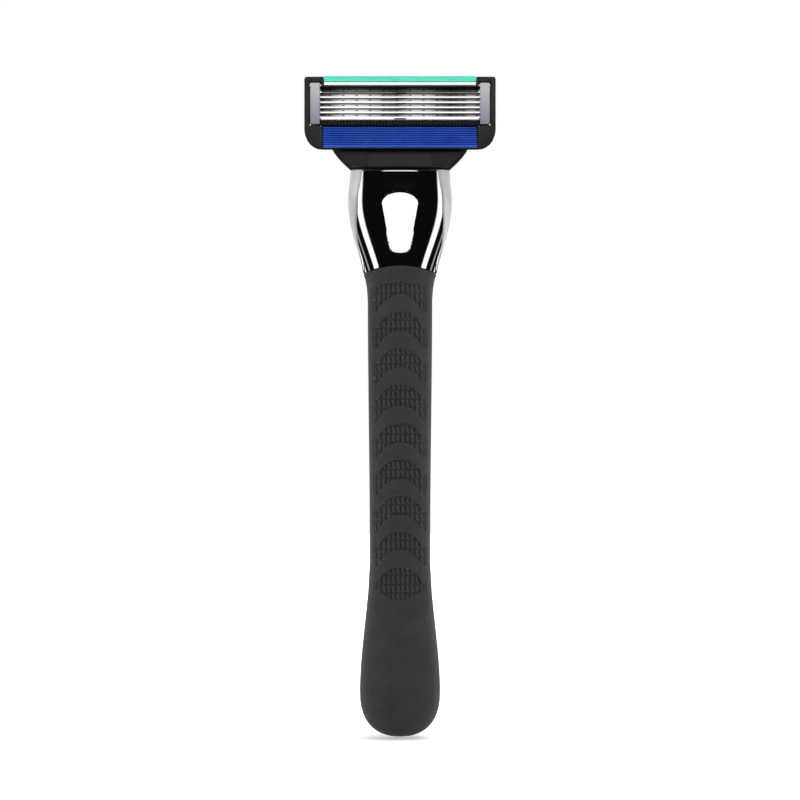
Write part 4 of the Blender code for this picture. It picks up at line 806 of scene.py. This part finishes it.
def raisedPanel(name, slot, material, outline, side, rise, chamfer=0.12, root=0.3):
    # a small flat-topped boss following an outline, rooted in the connector's surface
    outline = np.asarray(outline, float)
    depths = [connectorY(x, height, side) for x, height in outline]
    found = [depth for depth in depths if depth is not None]
    if not found:
        return
    floor = np.array([depth if depth is not None else found[0] for depth in depths])
    away = outline - outline.mean(0)
    drawn = outline - away * (chamfer / np.maximum(np.linalg.norm(away, axis=1), 0.01))[:, None]
    levels = ((outline, -root), (outline, rise - chamfer), (drawn, rise))
    points = np.concatenate([inRow(ring[:, 0], floor + side * lift, ring[:, 1]) for ring, lift in levels])
    count = len(outline)
    ends = (range(count), range(2 * count, 3 * count))
    faces = gridFaces(3, count, joinColumns=True)
    addPiece(name, "connector", slot, material, points, faces, ends, angle=25)


def makeConnectorDetails():
    # ledges, ribs, dashes and blue dots on the thumb side, an arch over the button, and the skirt's panel
    look = connectorLook
    turn = np.linspace(0, 2 * np.pi, 20, endpoint=False)
    dotX, dotZ = look["dotRadius"] * np.cos(turn), look["dot"][1] + look["dotRadius"] * np.sin(turn)
    for sign, side in ((-1, "left"), (1, "right")):
        for part in ("ledge", "slot", "dash"):
            outline = [(sign * x, height) for x, height in look[part]]
            raisedPanel(f"connector_{part}_{side}", *texturedBlack, outline, -1, look["rise"])
        dot = np.column_stack([sign * look["dot"][0] + dotX, dotZ])
        raisedPanel(f"connector_dot_{side}", *blueElastomer, dot, -1, look["dotRise"])
    (middleX, middleZ), (inner, outer) = look["arch"], look["archRadii"]
    turn = np.linspace(-look["archTurn"], look["archTurn"], 33)
    arch = [(middleX + inner * math.sin(t), middleZ + inner * math.cos(t)) for t in turn]
    arch += [(middleX + outer * math.sin(t), middleZ + outer * math.cos(t)) for t in turn[::-1]]
    raisedPanel("connector_arch", *texturedBlack, arch, -1, look["archRise"], look["archChamfer"])
    half, low, top = look["panelHalf"], look["panelLow"], look["panelTop"]
    panel = ((-half, low), (half, low), (half, top), (-half, top))
    raisedPanel("connector_panel", *texturedBlack, panel, 1, look["panelRise"], look["panelChamfer"])


# ---- cartridge

softened("cartridge_frame", "frame_moulding", "cartridge", *texturedBlack, 0.06, flat=0)
softened("strip_base", "strip_tray", "cartridge", *milkyPlastic, 0.12)
softened("lubricating_strip", "strip_gel", "cartridge", *waxyStrip, 0.18)


def makeStripTabs():
    # white ends of the strip's base, held in the four round-ended slots of the frame's back
    look = {
        "places": (-13.5, -4.1, 4.1, 13.5), "half": 2.12, "tall": 0.36, "rise": 0.9, "depth": 0.12,
        "reach": 1.2, "chamfer": (0.05, 0.06),
    }
    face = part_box("cartridge_frame")[0].y / mm + look["depth"]
    x, z = roundedRectangle(look["half"], look["tall"], look["tall"] - 0.01, 8, 3)
    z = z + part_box("strip_base")[0].z / mm + buttDrop + look["rise"]
    drawIn, drop = look["chamfer"]
    levels = ((1, look["reach"]), (1, drop), (1 - drawIn / np.hypot(x, 1), 0))
    count = len(x)
    points, faces, ends = [], [], []
    for index, place in enumerate(look["places"]):
        start = index * 3 * count
        points += [inRow(place + x * width, face + back, z) for width, back in levels]
        faces.append(gridFaces(3, count, joinColumns=True) + start)
        ends += [range(start, start + count), range(start + 2 * count, start + 3 * count)]
    points, faces = np.concatenate(points), np.concatenate(faces)
    addPiece("strip_tabs", "cartridge", *milkyPlastic, points, faces, ends, angle=40)


makeStripTabs()
for side in ("left", "right"):
    softened(f"clip_{side}", f"clip_band_{side}", "cartridge", *clipSteel, 0.12)
softened("guard_bar", "guard_wire", "cartridge", *pressedSteel, 0.04)
for number in range(1, 7):
    softened(f"blade_support_{number}", f"support_bent_{number}", "cartridge", *pressedSteel, 0.05)

blade = {
    "angle": math.radians(22.0), "width": 1.25, "thickness": 0.1, "ground": 0.37, "lapped": math.radians(7.0),
    "rise": 0.3, "stations": 9,
}


def makeBlade(number):
    # profile from the edge up the lapped facet and the strip, and back down the rear face, carried along X
    low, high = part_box(f"blade_{number}")
    half, edgeY, edgeZ = high.x / mm, high.y / mm, low.z / mm
    angles = blade["angle"], blade["angle"] + blade["lapped"]
    slope, steep = (np.array([-math.sin(angle), math.cos(angle)]) for angle in angles)
    outward = np.array([slope[1], -slope[0]])
    ground, width, thick = blade["ground"], blade["width"], blade["thickness"]
    knee = steep * ground
    top = knee + slope * (width - ground)
    rise, stations = blade["rise"], blade["stations"]
    rear = [top - outward * thick * 0.7, slope * rise - outward * thick]
    profile = np.array([[0, 0], knee * 0.5, knee, knee + slope * rise, top, *rear])
    across = np.array([0, ground / 2, ground, ground + rise, width, width, rise])
    x = np.linspace(-half, half, stations)[:, None]
    points = stacked(x, edgeY + profile[:, 0], edgeZ + profile[:, 1])
    count = len(profile)
    ends = (range(count), range((stations - 1) * count, stations * count))
    faces = gridFaces(stations, count, joinColumns=True)
    addPiece(
        f"blade_ground_{number}", "cartridge", *bladeSteel, points, faces, ends, (f"blade_{number}",),
        angle=5, across=np.tile(across, stations),
    )


for number in range(1, 7):
    makeBlade(number)

fins = {
    "count": 9, "height": 0.42, "crown": 0.3, "depth": 1.9, "stepsPerFin": 12,
    "endFall": 0.45, "endRound": 0.55,
}


def makeGuardFins():
    # ridges one above another: each a half wave, over a front that falls back towards its edges and ends
    low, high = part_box("guard_fins")
    half, front = high.x / mm, high.y / mm
    bottom, top = low.z / mm, high.z / mm
    z = np.linspace(bottom, top, fins["count"] * fins["stepsPerFin"] + 1)[None, :]
    ends = half - np.array([0, 0.04, 0.12, 0.28, 0.55, 1.0])
    x = np.concatenate([-ends, np.linspace(-half + 2, half - 2, 21), ends[::-1]])[:, None]
    share = 2 * (z - bottom) / (top - bottom) - 1
    wave = np.abs(np.sin(np.pi * fins["count"] * (z - bottom) / (top - bottom))) ** 0.7
    endFall = fins["endFall"] * rounding(1 - (half - np.abs(x)) / fins["endRound"])
    y = front - fins["crown"] * share**2 - fins["height"] * (1 - wave) - endFall
    sheets = stacked(x, y, z), stacked(x, front - fins["depth"], z)
    points, faces = closedSheet(*sheets, gridFaces(*y.shape))
    addPiece("guard_ribs", "cartridge", *blueElastomer, points, faces, stands=("guard_fins",), angle=50)


comb = {
    "pitch": 0.72, "stepsPerTooth": 10, "rows": 9, "bow": 0.34, "toothDepth": 0.62,
    "flank": 0.16, "crown": 0.18,
}


def makeGuardComb():
    # teeth across the front: raised over half of each pitch, and bowed sideways at mid height
    low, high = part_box("guard_comb")
    half, front, back = high.x / mm, high.y / mm, low.y / mm
    teeth = round(2 * half / comb["pitch"])
    x = np.linspace(-half, half, teeth * comb["stepsPerTooth"] + 1)[:, None]
    z = np.linspace(low.z / mm, high.z / mm, comb["rows"])[None, :]
    share = 2 * (z - z.min()) / (z.max() - z.min()) - 1
    turn = (x / comb["pitch"] - comb["bow"] * (1 - share**2)) % 1.0
    tooth = ease(turn / comb["flank"]) * (1 - ease((turn - 0.5) / comb["flank"]))
    y = front - comb["toothDepth"] * (1 - tooth) - comb["crown"] * share**4
    points, faces = closedSheet(stacked(x, y, z), stacked(x, back, z), gridFaces(*y.shape))
    addPiece("guard_teeth", "cartridge", *texturedBlack, points, faces, stands=("guard_comb",), angle=60)


makeGuardFins()
makeGuardComb()
makeConnectorDetails()
print("connector and cartridge made")

# ---- studio: floor, surround and lamps

studio = {
    "floorGap": 0.3, "floorHalf": 900.0, "glowReach": (0.1, 0.3), "glow": (0.35, 1.0), "panelLift": 3.6,
    "sideBox": ((43.0, 60.0, 1.5), (-40.0, 60.0, 4.0)), "frontPanel": ((-10.0, 13.0, 1.5), (4.6, 64.0, 1.0)),
    "rearGlow": (82.0, 88.0, 0.0, 0.3), "ceiling": (58.0, 70.0, 0.0, 1.1), "strength": 1.15, "dark": 0.003,
}
floorZ = cadLow.z - studio["floorGap"] * mm


def makeFloor():
    # a level sheet under the butt
    reach = studio["floorHalf"] * mm
    side = np.linspace(-reach, reach, 3)
    mesh = bpy.data.meshes.new("floor")
    mesh.from_pydata(stacked(side[:, None], side, floorZ).tolist(), [], gridFaces(3, 3).tolist())
    floor = bpy.data.objects.new("floor", mesh)
    bpy.context.scene.collection.objects.link(floor)
    # seamless white paper: a matt sheet with a faint fibre in its shade, and a painted glow of its own, weak
    # by the butt and full white further out
    material, tree, place = startMaterial("glowingWhitePaper")
    fibre = addNode(tree, "MapRange", {}, (noiseAt(tree, place, 6.0), 0.3, 0.7, 0.0, 1.0))
    colours = {0: fibre, 6: linearColour("#fafafa"), 7: linearColour("#ffffff")}
    away = addNode(tree, "VectorMath", {"operation": "LENGTH"}, [place]).outputs["Value"]
    shadeMaterial(tree, {
        "Base Color": addNode(tree, "Mix", mixColours, colours).outputs[2],
        "Roughness": 0.9, "Specular IOR Level": 0.1, "Emission Color": (1, 1, 1, 1),
        "Emission Strength": addNode(  # painted glow, stronger with distance
            tree, "MapRange", {}, (away, *studio["glowReach"], *studio["glow"])
        ),
    })
    mesh.materials.append(material)
    floor.visible_glossy = False


def makeSurround():
    # white panels and dark flags all round, by angle; the front panel stands higher on the blade side
    world = bpy.data.worlds.new("studioSurround")
    bpy.context.scene.world = world
    world.use_nodes = True
    tree = world.node_tree
    tree.nodes.clear()
    way = addNode(tree, "TexCoord").outputs["Generated"]
    values = dict(zip("xyz", addNode(tree, "SeparateXYZ", {}, [way]).outputs))
    degrees = 180 / math.pi
    steps = [
        ("wide", "ABSOLUTE", "x"), ("deep", "ABSOLUTE", "y"), ("turn", "ARCTAN2", "wide", "deep"),
        ("sideways", "MULTIPLY", "turn", degrees), ("rise", "ARCSINE", "z"),
        ("upward", "MULTIPLY", "rise", degrees), ("lift", "", "y", -0.05, 0.05, 0.0, studio["panelLift"]),
        ("raised", "SUBTRACT", "upward", "lift"),
    ]
    for panel, height in (("sideBox", "upward"), ("frontPanel", "raised")):
        for part, value, (low, high, soft) in zip("ab", ("sideways", height), studio[panel]):
            steps += [  # up to one about the low angle and back to nought about the high one
                (panel + part + "Up", "", value, low - soft, low + soft, 0.0, 1.0),
                (panel + part + "Down", "", value, high - soft, high + soft, 1.0, 0.0),
                (panel + part, "MULTIPLY", panel + part + "Up", panel + part + "Down"),
            ]
        steps.append((panel, "MULTIPLY", panel + "a", panel + "b"))
    steps += [
        ("rear", "", "sideways", *studio["rearGlow"]), ("above", "", "upward", *studio["ceiling"]),
        ("panels", "MAXIMUM", "sideBox", "frontPanel"), ("rest", "MAXIMUM", "rear", "above"),
        ("lit", "MAXIMUM", "panels", "rest"), ("bright", "MULTIPLY", "lit", studio["strength"]),
        ("total", "MAXIMUM", "bright", studio["dark"]),
    ]
    for name, operation, *inputs in steps:  # a step without an operation spreads one range over another
        kind = "Math" if operation else "MapRange"
        settings = {"operation": operation} if operation else {}
        values[name] = addNode(tree, kind, settings, [values.get(item, item) for item in inputs])
    white = addNode(tree, "Background", {}, {"Color": (1, 1, 1, 1), "Strength": 1.0})
    warm = {"Color": (1, 0.995, 0.985, 1), "Strength": values["total"]}
    seen = addNode(tree, "LightPath").outputs["Is Camera Ray"]
    mixed = addNode(tree, "MixShader", {}, (seen, addNode(tree, "Background", {}, warm), white))
    addNode(tree, "OutputWorld", {}, {"Surface": mixed})


def addLamp(name, place, size, power):
    # a square soft lamp aimed at the middle of the razor
    data = bpy.data.lights.new(name, "AREA")
    data.shape, data.size, data.energy = "SQUARE", size, power
    lamp = bpy.data.objects.new(name, data)
    lamp.location = place
    middle = (cadLow + cadHigh) / 2
    lamp.rotation_euler = (middle - Vector(place)).to_track_quat("-Z", "Y").to_euler()
    lamp.visible_glossy = False
    bpy.context.scene.collection.objects.link(lamp)


makeFloor()
makeSurround()
lamps = {  # place in metres, signs along the axes for its twin, size in metres and power in watts
    "fill": ((0.3, 0.75, 0.45), (1, -1, 1), 0.35, 0.7),
    "key": ((-0.45, 0.35, 0.75), (1, -1, 1), 0.3, 1.3),
    "side": ((0.8, 0.0, 0.1), (-1, 1, 1), 0.4, 1.6),
}
for side in (-1, 1):
    for name, (place, twin, size, power) in lamps.items():
        signs = twin if side < 0 else (1, 1, 1)
        addLamp(f"{name}_{side}", [part * sign for part, sign in zip(place, signs)], size, power)
addLamp("overhead", (0, 0, 0.9), 0.4, 2.0)


def makeCamera():
    # straight on to the blade side, at the height and distance that fill the frame as wanted
    view = {"lens": 120.0, "sensor": 36.0, "seen": 0.1768, "up": 0.00188}
    data = bpy.data.cameras.new("view")
    data.lens, data.sensor_width = view["lens"], view["sensor"]
    camera = bpy.data.objects.new("view", data)
    distance = view["seen"] / 2 / (view["sensor"] / 2 / view["lens"])
    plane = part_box("connector")[1].y
    camera.location = (0, plane + distance, (cadLow.z + cadHigh.z) / 2 + view["up"])
    camera.rotation_euler = (math.pi / 2, 0, math.pi)
    bpy.context.scene.collection.objects.link(camera)
    bpy.context.scene.camera = camera


makeCamera()
bpy.context.scene.view_settings.view_transform = "Standard"
print("studio made")
